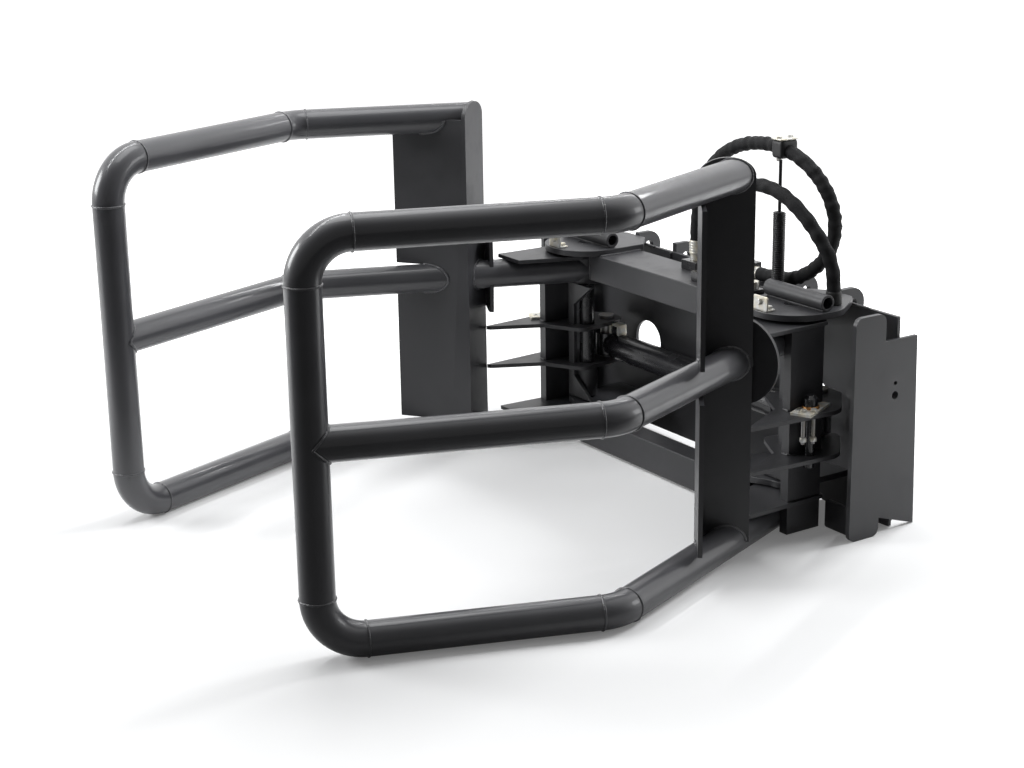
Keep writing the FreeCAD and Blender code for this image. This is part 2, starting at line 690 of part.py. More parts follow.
def make_frame():
    """Beams, hinge plates, back plate, cheeks and lugs of the carrying frame."""
    def box_beam(label, low_y, deep, low_z, high):
        body = new_body(label)
        sketch = new_sketch(body, "YZ_Plane")
        outer = [(low_y, low_z), (f"{low_y} + {deep}", low_z), (f"{low_y} + {deep}", f"{low_z} + {high}"),
                 (low_y, f"{low_z} + {high}")]
        wall = "beam_wall"
        inner = [(f"{low_y} + {wall}", f"{low_z} + {wall}"),
                 (f"{low_y} + {deep} - {wall}", f"{low_z} + {wall}"),
                 (f"{low_y} + {deep} - {wall}", f"{low_z} + {high} - {wall}"),
                 (f"{low_y} + {wall}", f"{low_z} + {high} - {wall}")]
        draw_polygon(sketch, outer, "outer")
        draw_polygon(sketch, inner, "inner")
        pad_sketch(body, sketch, f"2 * {BEAM_HALF}")
        body.setExpression("Placement.Base.x", bound(f"-{BEAM_HALF}"))
        NODES[label] = body

    box_beam("top_beam", "top_beam_y", "top_beam_deep", f"({TOP_HINGE_Z} - top_beam_high)", "top_beam_high")
    box_beam("low_beam", "low_beam_y", "low_beam_deep", "low_beam_z", f"({LOW_HINGE_Z} - low_beam_z)")

    half = "(cheek_x - hitch_plate)"
    plate("back_plate", "XZ_Plane",
          [(f"-{half}", "back_foot"), (half, "back_foot"), (half, TOP_HINGE_Z), (f"-{half}", TOP_HINGE_Z)],
          "back_plate", "back_y + back_plate",
          holes=[(("back_hole_x", "back_hole_z"), "back_hole"),
                 (("-back_hole_x", "back_hole_z"), "back_hole")])

    pin_hole = (("pivot_x", "pivot_y"), HOLE_PIN)
    plate("top_hinge_plate_right", "XY_Plane",
          [("pivot_x - hinge_radius", "pivot_y - hinge_radius"),
           ("pivot_x + hinge_radius", "pivot_y - hinge_radius"),
           ("pivot_x + hinge_radius", "pivot_y + hinge_radius / 2"),
           ("pivot_x + hinge_radius / 3", "back_y + back_plate"),
           ("pivot_x - hinge_radius", "back_y + back_plate")],
          "hinge_plate", TOP_HINGE_Z, holes=[pin_hole],
          rounds=[([0, 1], "hinge_radius - 2"), ([2], "hinge_round")])
    plate("low_hinge_plate_right", "XY_Plane",
          [("low_hinge_inner", "low_beam_y"), (BEAM_HALF, "low_beam_y"),
           ("pivot_x", "pivot_y - low_hinge_radius"),
           ("pivot_x + low_hinge_radius", "pivot_y - low_hinge_radius"),
           ("pivot_x + low_hinge_radius", "back_y"), ("low_hinge_inner", "back_y")],
          "hinge_plate", LOW_HINGE_Z, holes=[pin_hole],
          rounds=[([3], "low_hinge_radius - 2"), ([2], "hinge_round / 2")])

    cheek_rear = "(cheek_y + cheek_deep)"
    cheek = plate("cheek_plate_right", "YZ_Plane",
                  [("cheek_y", "0"), (cheek_rear, "0"), (cheek_rear, "cheek_top"), ("cheek_y", "cheek_top")],
                  "cheek_plate", "cheek_x", rounds=[([0, 1, 2, 3], "cheek_round")])
    wall = plate("cheek_wall_right", "XZ_Plane",
                 [("wall_inner", "back_foot"), ("cheek_x", "back_foot"), ("cheek_x", TOP_HINGE_Z),
                  ("wall_inner", TOP_HINGE_Z)],
                 "wall_plate", cheek_rear)
    fused("end_cheek_right", [cheek, wall])
    plate("hitch_plate_right", "YZ_Plane",
          [(cheek_rear, "hitch_foot_rise"), ("hitch_foot_rear", "0"), ("hitch_rear", "hitch_top"),
           (cheek_rear, "hitch_top")],
          "hitch_plate", "cheek_x - hitch_plate",
          holes=[(("hitch_hole_y", "hitch_hole_z"), "hitch_hole"),
                 (("hitch_hole_y", "hitch_hole_z + 1.6 * hitch_hole"), "hitch_small_hole")])

    lugs = []
    for name, low_x, height in (("outer_lug", "lug_outer_x", "lug_z"), ("inner_lug", "lug_inner_x", "lug_z"),
                                ("low_lug", "lug_outer_x", "lug_low_z")):
        lug = plate(name, "YZ_Plane",
                    [("back_y + back_plate", f"{height} - lug_radius"),
                     ("lug_y + lug_radius", f"{height} - lug_radius"),
                     ("lug_y + lug_radius", f"{height} + lug_radius"),
                     ("back_y + back_plate", f"{height} + lug_radius")],
                    "lug_plate", f"{low_x} - lug_plate / 2", holes=[(("lug_y", height), "lug_hole")],
                    rounds=[([1, 2], "lug_radius - 1")])
        lugs.append(lug)
    grouped("hitch_lugs_right", lugs)

    guide = new_body("guide_tube_right")
    sketch = new_sketch(guide, "YZ_Plane")
    centre = ("guide_y", f"{TOP_HINGE_Z} + hinge_plate + guide_outer / 2")
    draw_circle(sketch, centre, "guide_outer", "outside")
    draw_circle(sketch, centre, "guide_bore", "bore")
    pad_sketch(guide, sketch, "guide_outer_x - guide_inner_x")
    guide.setExpression("Placement.Base.x", "sizes.guide_inner_x")
    NODES["guide_tube_right"] = guide

    top = f"({TOP_HINGE_Z} + hinge_plate)"
    turned("pivot_pin_right",
           [("0", "0"), ("pin_diameter / 2 - 3", "0"), ("pin_diameter / 2", "3"),
            ("pin_diameter / 2", f"{top} - 4"), ("0", f"{top} - 4")],
           ("pivot_x", "pivot_y", "4"))


def make_cylinder():
    """Cylinder across the frame: barrel on the left arm's lever pin, rod eye round the right one's."""
    barrel = turned("barrel_tube",
                    [("0", "0"), ("barrel_outer / 2", "0"), ("barrel_outer / 2", "barrel_start + barrel_end"),
                     ("barrel_bore / 2", "barrel_start + barrel_end"), ("barrel_bore / 2", "base_cap"),
                     ("0", "base_cap")],
                    ("-barrel_start", LEVER[1], "barrel_z"), along="x")
    turned("cylinder_gland",
           [("rod_diameter / 2 + slide_gap", "-gland_insert"), ("barrel_bore / 2", "-gland_insert"),
            ("barrel_bore / 2", "0"), ("gland_outer / 2", "0"),
            ("gland_outer / 2", "gland_long - gland_crown"), ("gland_outer / 2 - gland_crown", "gland_long"),
            ("rod_diameter / 2 + slide_gap", "gland_long")],
           ("barrel_end", LEVER[1], "barrel_z"), along="x")
    turned("cylinder_piston",
           [("rod_diameter / 2", "0"), ("barrel_bore / 2 - slide_gap", "0"),
            ("barrel_bore / 2 - slide_gap", "piston_long"), ("rod_diameter / 2", "piston_long")],
           ("piston_x", LEVER[1], "barrel_z"), along="x")

    def eye(name, side, gap):
        """Upright eye with a neck towards the middle of the frame."""
        return turned(name, [(f"lever_pin / 2 + {gap}", "0"), ("eye_radius", "0"), ("eye_radius", "eye_high"),
                             (f"lever_pin / 2 + {gap}", "eye_high")],
                      (f"{side}{LEVER[0]}", LEVER[1], "barrel_z - eye_high / 2"))

    left_eye = eye("barrel_eye", "-", "pin_fit")
    neck = turned("barrel_neck",
                  [("0", "0"), ("barrel_outer / 2 - neck_step", "0"),
                   ("barrel_outer / 2 - neck_step", "eye_radius"),
                   ("0", "eye_radius")], (f"-{LEVER[0]} + eye_radius * 0.7", LEVER[1], "barrel_z"), along="x")
    right_eye = eye("rod_eye", "", "open_eye_gap")
    rod = turned("rod_shaft",
                 [("0", "0"), ("rod_diameter / 2", "0"),
                  ("rod_diameter / 2", f"{LEVER[0]} - eye_radius * 0.7 - piston_x"),
                  ("0", f"{LEVER[0]} - eye_radius * 0.7 - piston_x")],
                 ("piston_x", LEVER[1], "barrel_z"), along="x")

    def joined(label, pieces, bore_side, gap):
        blank = fused(label + "_blank", pieces)
        bore = doc.addObject("Part::Cylinder", label + "_bore")
        bore.setExpression("Radius", bound(f"lever_pin / 2 + {gap}"))
        bore.setExpression("Height", bound("eye_high * 2"))
        for axis, formula in zip("xyz", (f"{bore_side}{LEVER[0]}", LEVER[1], "barrel_z - eye_high")):
            bore.setExpression("Placement.Base." + axis, bound(formula))
        whole = doc.addObject("Part::Cut", label)
        whole.Label = label
        whole.Base = blank
        whole.Tool = bore
        NODES.pop(blank.Label)
        NODES[label] = whole

    joined("cylinder_barrel", [barrel, left_eye, neck], "-", "pin_fit")
    joined("cylinder_rod", [rod, right_eye], "", "open_eye_gap")

    length = "(upper_link_z + gusset_plate - lower_link_z + lever_under)"
    turned("lever_pin_right",
           [("0", "0"), ("lever_pin / 2", "0"), ("lever_pin / 2", length), ("lever_head / 2", length),
            ("lever_head / 2", f"{length} + lever_head_high"), ("0", f"{length} + lever_head_high")],
           (LEVER[0], LEVER[1], "lower_link_z - lever_under"))


# Routes of the two hoses, from the fitting on the beam over the support to the other fitting
HIGH_HOSE = [(-42, 618, 545), (-42, 618, 622), (-28, 618, 705), (12, 620, 775), (80, 624, 825),
             (165, 629, 848), (257, 633, 847), (340, 640, 815), (394, 652, 755), (412, 660, 685),
             (396, 658, 618), (340, 652, 562), (262, 645, 528), (168, 645, 528)]
LOW_HOSE = [(71, 558, 545), (71, 558, 622), (100, 558, 692), (166, 559, 746), (246, 562, 770),
            (325, 568, 760), (392, 578, 718), (438, 594, 660), (461, 612, 600), (461, 612, 536)]


def hose(label, route):
    """Round hose along straight runs joined by tangent arcs."""
    points = [FreeCAD.Vector(*point) for point in route]
    edges = []
    radii = []
    start = points[0]
    for before, corner, after in zip(points, points[1:], points[2:]):
        back = before - corner
        ahead = after - corner
        half_turn = (math.pi - back.getAngle(ahead)) / 2
        reach = 0.45 * min(back.Length, ahead.Length)
        radii.append(reach / math.tan(half_turn))
        back.normalize()
        ahead.normalize()
        arc_start = corner + back * reach
        arc_end = corner + ahead * reach
        inward = (back + ahead).normalize()
        centre_distance = radii[-1] / math.cos(half_turn)
        arc_middle = corner + inward * (centre_distance - radii[-1])
        edges.append(Part.LineSegment(start, arc_start).toShape())
        edges.append(Part.Arc(arc_start, arc_middle, arc_end).toShape())
        start = arc_end
    edges.append(Part.LineSegment(start, points[-1]).toShape())
    path = Part.Wire(edges)
    radius = word("hose_diameter") / 2
    circle = Part.Circle(points[0], points[1] - points[0], radius)
    tube = path.makePipeShell([Part.Wire([circle.toShape()])], True, True)
    node = doc.addObject("Part::Feature", label)
    node.Label = label
    node.Shape = tube
    node.Placement = FreeCAD.Placement()
    NODES[label] = node
    expected = math.pi * radius ** 2 * path.Length
    print(f"{label}: {path.Length:.0f} mm long, volume {tube.Volume / expected:.4f} of section by length, "
          f"radii {[round(item) for item in radii]}")
    return node


def make_hoses():
    """Two hoses, their fittings and blocks, and the sprung support that holds the high one."""
    high = hose("high_hose", HIGH_HOSE)
    hose("low_hose", LOW_HOSE)
    deck = TOP_HINGE_Z

    def block(name, low_x, wide, low_y, deep, high_z):
        corners = [(low_x, low_y), (f"{low_x} + {wide}", low_y), (f"{low_x} + {wide}", f"{low_y} + {deep}"),
                   (low_x, f"{low_y} + {deep}")]
        return plate(name, "XY_Plane", corners, high_z, deck)

    def fitting(name, at, length, along):
        return turned(name, [("0", "0"), ("fitting_outer / 2", "0"), ("fitting_outer / 2", length),
                             ("0", length)], at, along)

    first, second = HIGH_HOSE[0], LOW_HOSE[0]
    last, lowest = HIGH_HOSE[-1], LOW_HOSE[-1]
    blocks = [
        block("first_block", f"{first[0]} - block_wide / 2", "block_wide", f"{first[1]} - block_front",
              "block_deep", "block_high"),
        block("second_block", f"{second[0]} - block_wide / 2", "block_wide",
              f"{second[1]} - block_front", "block_deep", "block_high"),
        block("end_block", f"{last[0]} - fitting_long - end_block_wide", "end_block_wide",
              f"{last[1]} - end_block_wide / 2", "end_block_wide", "2 * block_high"),
        block("plug_block", "plug_x - end_block_wide / 2", "end_block_wide",
              "plug_y - end_block_wide / 2", "end_block_wide", "block_high"),
    ]
    grouped("port_blocks", blocks)
    block_top = f"({deck} + block_high)"
    hinge_top = f"({deck} + hinge_plate)"
    fittings = [
        fitting("first_fitting", (f"{first[0]}", f"{first[1]}", block_top), f"{first[2]} - {block_top}", "z"),
        fitting("second_fitting", (f"{second[0]}", f"{second[1]}", block_top),
                f"{second[2]} - {block_top}", "z"),
        fitting("end_fitting", (f"{last[0]} - fitting_long", f"{last[1]}", f"{last[2]}"), "fitting_long",
                "x"),
        fitting("low_end_fitting", (f"{lowest[0]}", f"{lowest[1]}", hinge_top),
                f"{lowest[2]} - {hinge_top}", "z"),
        fitting("block_plug", ("plug_x", "plug_y", block_top), "fitting_long", "z"),
    ]
    grouped("hose_fittings", fittings)

    turned("hose_spring",
           [("spring_bore / 2", "0"), ("spring_outer / 2", "0"), ("spring_outer / 2", "spring_high"),
            ("spring_bore / 2", "spring_high")],
           (SUPPORT[0], SUPPORT[1], deck))
    turned("support_rod",
           [("0", "0"), ("spring_bore / 2 - slide_gap", "0"), ("spring_bore / 2 - slide_gap", "support_foot"),
            ("support_rod / 2", "support_foot"), ("support_rod / 2", f"clamp_z - {deck}"),
            ("0", f"clamp_z - {deck}")],
           (SUPPORT[0], SUPPORT[1], deck))
    near_x = f"{SUPPORT[0]} - clamp_inner"
    near_y = f"{SUPPORT[1]} - clamp_front"
    bolt_at = (f"{near_x} + clamp_wide / 2", f"{near_y} + clamp_deep - clamp_bolt")
    saddle = plate("clamp_block", "XY_Plane",
                   [(near_x, near_y), (f"{near_x} + clamp_wide", near_y),
                    (f"{near_x} + clamp_wide", f"{near_y} + clamp_deep"), (near_x, f"{near_y} + clamp_deep")],
                   "clamp_high", "clamp_z", holes=[(bolt_at, "clamp_bolt")],
                   rounds=[([0, 1, 2, 3], "clamp_round")])
    body = doc.addObject("Part::Cut", "clamp_body")
    body.Base = saddle
    body.Tool = high
    NODES.pop("clamp_block")
    bolt = turned("clamp_bolt_piece",
                  [("0", "-clamp_nut_high"), ("clamp_nut / 2", "-clamp_nut_high"), ("clamp_nut / 2", "0"),
                   ("clamp_bolt / 2", "0"), ("clamp_bolt / 2", "clamp_high"), ("clamp_nut / 2", "clamp_high"),
                   ("clamp_nut / 2", "clamp_high + clamp_nut_high"), ("0", "clamp_high + clamp_nut_high")],
                  (bolt_at[0], bolt_at[1], "clamp_z"))
    grouped("hose_clamp", [body, bolt])


make_right_arm()
make_frame()
make_cylinder()
make_hoses()
doc.recompute()
for label in [label for label in NODES if label.endswith("_right")]:
    mirrored(label[:-len("right")] + "left", NODES[label])
doc.recompute()


def check_and_write():
    """Stops if anything failed, then writes one file for each piece."""
    for item in doc.Objects:
        if "Invalid" in item.State or "Error" in item.State:
            raise RuntimeError(f"{item.Label} is {item.State}")
    for label, item in NODES.items():
        if item.Shape.isNull() or not item.Shape.isValid():
            raise RuntimeError(f"{label} has no valid shape")
        if not item.Shape.Solids:
            raise RuntimeError(f"{label} has no solid")
    os.makedirs("parts", exist_ok=True)
    for label, item in NODES.items():
        item.Shape.exportStep(f"parts/{label}.step")
        box = item.Shape.BoundBox
        print(f"{label}: {len(item.Shape.Solids)} solids, {item.Shape.Volume / 1000:.1f} cm3, "
              f"x {box.XMin:.1f} {box.XMax:.1f} y {box.YMin:.1f} {box.YMax:.1f} z {box.ZMin:.1f} {box.ZMax:.1f}")


check_and_write()
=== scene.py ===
import json
import math

import bmesh
import bpy
import numpy as np
from mathutils import Matrix, Vector

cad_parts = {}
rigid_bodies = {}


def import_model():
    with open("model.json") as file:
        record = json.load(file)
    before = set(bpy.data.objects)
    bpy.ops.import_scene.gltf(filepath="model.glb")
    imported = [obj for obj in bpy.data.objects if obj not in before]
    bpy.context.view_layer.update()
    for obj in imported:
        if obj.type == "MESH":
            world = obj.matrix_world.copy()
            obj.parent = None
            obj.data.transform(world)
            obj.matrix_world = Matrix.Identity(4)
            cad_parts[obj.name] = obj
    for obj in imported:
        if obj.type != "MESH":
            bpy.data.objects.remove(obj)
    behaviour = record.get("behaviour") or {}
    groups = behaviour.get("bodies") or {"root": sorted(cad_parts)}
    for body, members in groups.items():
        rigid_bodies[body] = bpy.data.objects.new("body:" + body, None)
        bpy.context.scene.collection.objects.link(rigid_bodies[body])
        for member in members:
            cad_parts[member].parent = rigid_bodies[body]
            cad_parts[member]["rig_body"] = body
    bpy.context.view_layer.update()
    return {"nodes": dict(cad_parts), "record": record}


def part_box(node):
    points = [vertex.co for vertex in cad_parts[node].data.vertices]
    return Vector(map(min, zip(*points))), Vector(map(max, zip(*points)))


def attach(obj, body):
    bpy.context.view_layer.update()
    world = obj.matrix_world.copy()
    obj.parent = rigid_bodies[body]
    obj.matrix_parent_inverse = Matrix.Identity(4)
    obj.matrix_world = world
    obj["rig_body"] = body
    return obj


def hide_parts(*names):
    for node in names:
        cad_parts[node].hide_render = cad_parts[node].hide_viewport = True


# Bale grapple: two arms of bent pipe on upright pins in a carrying frame, painted charcoal grey.
# Metres, +Z up, the arms reach forward along -Y, +X is the arm near the camera.

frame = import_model()
nodes = frame["nodes"]

SIDES = {"right": 1.0, "left": -1.0}
UP = np.array([0.0, 0.0, 1.0])
AXIS = {"x": np.array([1.0, 0.0, 0.0]), "y": np.array([0.0, 1.0, 0.0])}

# Sizes of the arms, as the solids have them
PIPE = 0.0365
ELBOW = 0.09525
PIVOT = np.array([0.4017, 0.5425, 0.0])
REAR_LENGTH, REAR_TURN = 0.7536, math.radians(21.74)
FRONT_LENGTH, FRONT_TURN = 0.614, math.radians(20.3)
TOP_RAIL, MIDDLE_RAIL, LOW_RAIL = 0.8606, 0.4494, PIPE
TO_VERTEX = np.array([math.sin(REAR_TURN), -math.cos(REAR_TURN), 0.0])
TO_TIP = np.array([-math.sin(FRONT_TURN), -math.cos(FRONT_TURN), 0.0])
VERTEX = PIVOT + REAR_LENGTH * TO_VERTEX
TIP = VERTEX + FRONT_LENGTH * TO_TIP
POST = np.array([0.462, 0.2145, 0.0])
POST_TURN = math.radians(36.5)
POST_SIDE = np.array([math.cos(POST_TURN), -math.sin(POST_TURN), 0.0])
POST_BACK = np.array([math.sin(POST_TURN), math.cos(POST_TURN), 0.0])
POST_PLATE, POST_DEEP = 0.010, 0.121

# An arm's front corners: the height of the rail, and the way its end tube goes from there
CORNERS = ((TOP_RAIL, -1.0), (LOW_RAIL, 1.0))

# The photograph's camera: place, lens, and azimuth, elevation and roll in degrees
CAMERA_PLACE = (3.6349, -2.3508, 1.6346)
CAMERA_TURNS = (56.68, 16.82, -0.914)
LENS_MM, SENSOR_MM = 68.45, 36.0

# Fineness of the meshes, and the sizes of the arms' beads
PIPE_STEP, PIPE_SEGMENTS = 0.03, 56
BEAD_STEP = 0.0016
BEAD, SEAM_BEAD, TUBE_BEAD = 0.0042, 0.0036, 0.0034

SLOTS = {entry["node"]: entry["material_slot"] for entry in frame["record"]["subparts"]}


def make_camera():
    """Camera at the photograph's place; its axes are worked out from azimuth, elevation and roll."""
    azimuth, elevation, roll = (math.radians(turn) for turn in CAMERA_TURNS)
    back = Vector((math.sin(azimuth) * math.cos(elevation), -math.cos(azimuth) * math.cos(elevation),
                   math.sin(elevation)))
    right = (-back).cross(Vector((0, 0, 1))).normalized()
    top = right.cross(-back)
    turned_right = math.cos(roll) * right + math.sin(roll) * top
    turned_top = math.cos(roll) * top - math.sin(roll) * right
    lens = bpy.data.cameras.new("photo_camera")
    lens.sensor_width = SENSOR_MM
    lens.lens = LENS_MM
    lens.clip_start, lens.clip_end = 0.1, 60.0
    camera = bpy.data.objects.new("photo_camera", lens)
    axes = Matrix((turned_right, turned_top, back)).transposed().to_4x4()
    camera.matrix_world = Matrix.Translation(CAMERA_PLACE) @ axes
    bpy.context.scene.collection.objects.link(camera)
    bpy.context.scene.camera = camera


make_camera()


class Wire:
    """One output of a shader node. Arithmetic on wires adds Math nodes."""

    def __init__(self, owner, socket):
        self.owner, self.socket = owner, socket

    def maths(self, operation, *values):
        return self.owner.node("Math", {"operation": operation}, dict(enumerate(values)))

    def __add__(self, other):
        return self.maths("ADD", self, other)

    def __rsub__(self, other):
        return self.maths("SUBTRACT", other, self)

    def __mul__(self, other):
        return self.maths("MULTIPLY", self, other)

    def dot(self, direction):
        """How far this vector reaches along a direction."""
        return self.owner.node("VectorMath", {"operation": "DOT_PRODUCT"}, {0: self, 1: direction}, 1)

    def ramp(self, low, high, start=0.0, end=1.0):
        """start below low, end above high, smooth between."""
        settings = {"interpolation_type": "SMOOTHSTEP"}
        return self.owner.node("MapRange", settings, {0: self, 1: low, 2: high, 3: start, 4: end})


class Nodes:
    """Shader nodes of a material or a world; node() adds one and gives one of its outputs."""

    def __init__(self, owner):
        owner.use_nodes = True
        self.tree = owner.node_tree
        self.tree.nodes.clear()

    def node(self, kind, settings=None, inputs=None, output=0):
        made = self.tree.nodes.new("ShaderNode" + kind)
        for key, value in (settings or {}).items():
            setattr(made, key, value)
        for key, value in (inputs or {}).items():
            if isinstance(value, Wire):
                self.tree.links.new(value.socket, made.inputs[key])
            else:
                made.inputs[key].default_value = value
        return Wire(self, made.outputs[output])

    def end(self, kind, shader):
        """Leads a shader into the output node of that kind."""
        last = self.tree.nodes.new("ShaderNodeOutput" + kind)
        self.tree.links.new(shader.socket, last.inputs["Surface"])


class Recipe(Nodes):
    """A material under construction, with textures on the object's own coordinates."""

    def __init__(self, name):
        self.material = bpy.data.materials.new(name)
        super().__init__(self.material)
        self.place = self.node("TexCoord", output="Object")

    def noise(self, scale, detail=3.0, rough=0.55, stretch=None):
        """Noise with scale lumps per metre, stretched along the axes where stretch is given."""
        where = self.place
        if stretch is not None:
            where = self.node("Mapping", {}, {"Vector": self.place, "Scale": stretch})
        return self.node("TexNoise", {}, {"Vector": where, "Scale": scale, "Detail": detail,
                                          "Roughness": rough})

    def mix(self, share, first, second):
        """Colour that goes from first to second with share."""
        return self.node("Mix", {"data_type": "RGBA"}, {"Factor": share, 6: first, 7: second}, 2)

    def bump(self, height, strength, distance):
        """Normal that follows a height, at most distance deep."""
        return self.node("Bump", {}, {"Height": height, "Strength": strength, "Distance": distance})

    def finish(self, inputs):
        """Ends the recipe in a Principled shader."""
        self.end("Material", self.node("BsdfPrincipled", {}, inputs))
        return self.material


def rgb(red, green, blue):
    return (red, green, blue, 1.0)


def paint(name, colour, rough, mottle, orange_peel, coat=0.0, coat_rough=0.12):
    """Sprayed charcoal paint: slow drift of shade, pale dust, rougher worn spots and faint orange peel."""
    recipe = Recipe(name)
    drift = recipe.noise(3.5, 3.0).ramp(0.35, 0.65)
    pale = rgb(*[min(1.0, part * (1 + mottle)) for part in colour])
    shade = recipe.mix(drift, rgb(*colour), pale)
    dust = recipe.noise(420.0, 2.0).ramp(0.5, 0.8)
    dusty = rgb(*[part + 0.010 for part in colour])
    worn = recipe.noise(14.0, 4.0).ramp(0.45, 0.75)
    peel = recipe.noise(420.0, 2.0, 0.5)
    return recipe.finish({
        "Base Color": recipe.mix(dust * 0.30, shade, dusty),
        "Roughness": worn * 0.10 + recipe.noise(240.0, 2.0) * 0.06 + (rough - 0.06),
        "Coat Weight": coat,
        "Coat Roughness": coat_rough,
        "Normal": recipe.bump(peel, orange_peel, 0.0006),
    })


def metal(name, colour, rough, metallic=1.0):
    """Plated or bare metal: clouds of a slightly yellower, rougher shade."""
    recipe = Recipe(name)
    cloud = recipe.noise(60.0, 4.0).ramp(0.35, 0.7)
    shade = recipe.mix(cloud, rgb(*colour), rgb(colour[0] * 1.05, colour[1] * 0.97, colour[2] * 0.80))
    return recipe.finish({
        "Base Color": shade,
        "Metallic": metallic,
        "Roughness": cloud * 0.12 + rough,
        "Normal": recipe.bump(recipe.noise(900.0, 2.0), 0.15, 0.0004),
    })


def hose_sleeve(name):
    """Black woven sleeve: fine weave along and across the hose on its own UV map, and dusty folds."""
    recipe = Recipe(name)
    uv = recipe.node("UVMap", {"uv_map": "wrap"})
    weave = recipe.node("TexWave", {"wave_type": "BANDS", "bands_direction": "X"},
                        {"Vector": uv, "Scale": 160.0, "Distortion": 1.0, "Detail": 2.0})
    across = recipe.node("TexWave", {"wave_type": "BANDS", "bands_direction": "Y"},
                         {"Vector": uv, "Scale": 40.0, "Distortion": 1.0, "Detail": 2.0})
    dust = recipe.noise(40.0, 4.0).ramp(0.4, 0.8)
    shade = recipe.mix(dust, rgb(0.007, 0.007, 0.008), rgb(0.020, 0.020, 0.021))
    return recipe.finish({
        "Base Color": shade,
        "Roughness": dust * 0.15 + 0.62,
        "Specular IOR Level": 0.25,
        "Normal": recipe.bump(weave * 0.6 + across * 0.4, 0.35, 0.0008),
    })


def plastic(name, colour, rough):
    """Moulded black plastic with a fine grain."""
    recipe = Recipe(name)
    grain = recipe.noise(700.0, 3.0)
    cloud = recipe.noise(30.0, 3.0).ramp(0.4, 0.7)
    shade = recipe.mix(cloud, rgb(*colour), rgb(*[part * 1.5 for part in colour]))
    return recipe.finish({
        "Base Color": shade,
        "Roughness": cloud * 0.1 + rough,
        "Normal": recipe.bump(grain, 0.3, 0.0005),
    })


def chrome(name):
    """Hard chrome with faint drawn marks."""
    recipe = Recipe(name)
    mark = recipe.noise(60.0, 2.0, 0.5, (40.0, 1.0, 1.0))
    return recipe.finish({
        "Base Color": recipe.mix(mark, rgb(0.72, 0.72, 0.74), rgb(0.80, 0.80, 0.81)),
        "Metallic": 1.0,
        "Roughness": mark * 0.06 + 0.08,
    })


MATERIALS = {
    # The pipe paint is written about twice as light as the plate paint, though both are the same charcoal
    # paint: painted light that brightens the pipes' shaded sides in place of the light their gloss
    # reflects.
    "pipe": paint("pipe_paint_painted_lighter", (0.068, 0.068, 0.074), 0.34, 0.20, 0.04, 0.45, 0.06),
    "plate": paint("plate_paint", (0.032, 0.032, 0.035), 0.46, 0.25, 0.10, 0.14, 0.25),
    "gloss": paint("cylinder_paint", (0.016, 0.016, 0.018), 0.26, 0.2, 0.15, 0.3),
    "zinc": metal("zinc_plating", (0.72, 0.72, 0.70), 0.34, 0.55),
    # The flag plates are zinc plated like the other parts; their lighter, less metallic copy of the zinc is
    # painted light that brightens them in the shadow under the gusset.
    "flag": metal("flag_zinc_painted_lighter", (0.88, 0.88, 0.85), 0.36, 0.25),
    "bronze": metal("bronze_bush", (0.48, 0.25, 0.10), 0.35),
    "chrome": chrome("rod_chrome"),
    "iron": metal("turned_iron", (0.30, 0.30, 0.31), 0.42),
    "hose": hose_sleeve("hose_sleeve"),
    "rubber": plastic("hose_rubber", (0.012, 0.012, 0.012), 0.55),
    "clamp": plastic("clamp_plastic", (0.014, 0.014, 0.015), 0.42),
    "spring": paint("spring_coating", (0.014, 0.014, 0.015), 0.34, 0.3, 0.2, 0.0),
}


class Shell:
    """Collects grids of points, mirrored to one side of the part, and builds them into one piece."""

    def __init__(self, sign=1.0):
        self.sign = sign
        self.points, self.faces, self.count = [], [], 0

    def grid(self, points, wrap_rows=False):
        """Adds rows of points, each row a closed ring; every cell between two rows becomes a face."""
        rows, columns = points.shape[:2]
        index = np.arange(rows * columns).reshape(rows, columns)
        if wrap_rows:
            index = np.concatenate([index, index[:1]], axis=0)
        index = np.concatenate([index, index[:, :1]], axis=1)
        cells = np.stack([index[:-1, :-1], index[:-1, 1:], index[1:, 1:], index[1:, :-1]], axis=-1)
        self.points.append(mirror(points, self.sign).reshape(-1, 3))
        self.faces.append(cells.reshape(-1, 4) + self.count)
        self.count += rows * columns
        return self

    def build(self, name, body, material, slot, sharp=38.0, uv=None):
        """Merges the grids' shared points, turns the faces outward and shows the piece."""
        mesh = bpy.data.meshes.new(name)
        faces = np.concatenate(self.faces)
        mesh.from_pydata(np.concatenate(self.points).tolist(), [], faces.tolist())
        if uv is not None:
            layer = mesh.uv_layers.new(name="wrap")
            layer.data.foreach_set("uv", uv[faces].reshape(-1))
        mesh.materials.append(MATERIALS[material])
        work = bmesh.new()
        work.from_mesh(mesh)
        bmesh.ops.remove_doubles(work, verts=work.verts, dist=1e-6)
        bmesh.ops.dissolve_degenerate(work, edges=work.edges, dist=1e-7)
        bmesh.ops.recalc_face_normals(work, faces=work.faces)
        work.to_mesh(mesh)
        work.free()
        return show(name, mesh, body, sharp)


def show(name, mesh, body, sharp):
    """Puts a mesh into the scene, smooth except where it turns by more than the sharp angle."""
    mesh.polygons.foreach_set("use_smooth", np.ones(len(mesh.polygons), dtype=bool))
    mesh.set_sharp_from_angle(angle=math.radians(sharp))
    piece = bpy.data.objects.new(name, mesh)
    bpy.context.scene.collection.objects.link(piece)
    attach(piece, body)
    return piece


def unit(vector):
    return vector / np.linalg.norm(vector, axis=-1, keepdims=True)


def mirror(points, sign):
    """Points for the arm on that side: x times sign."""
    return points * np.array([sign, 1.0, 1.0])


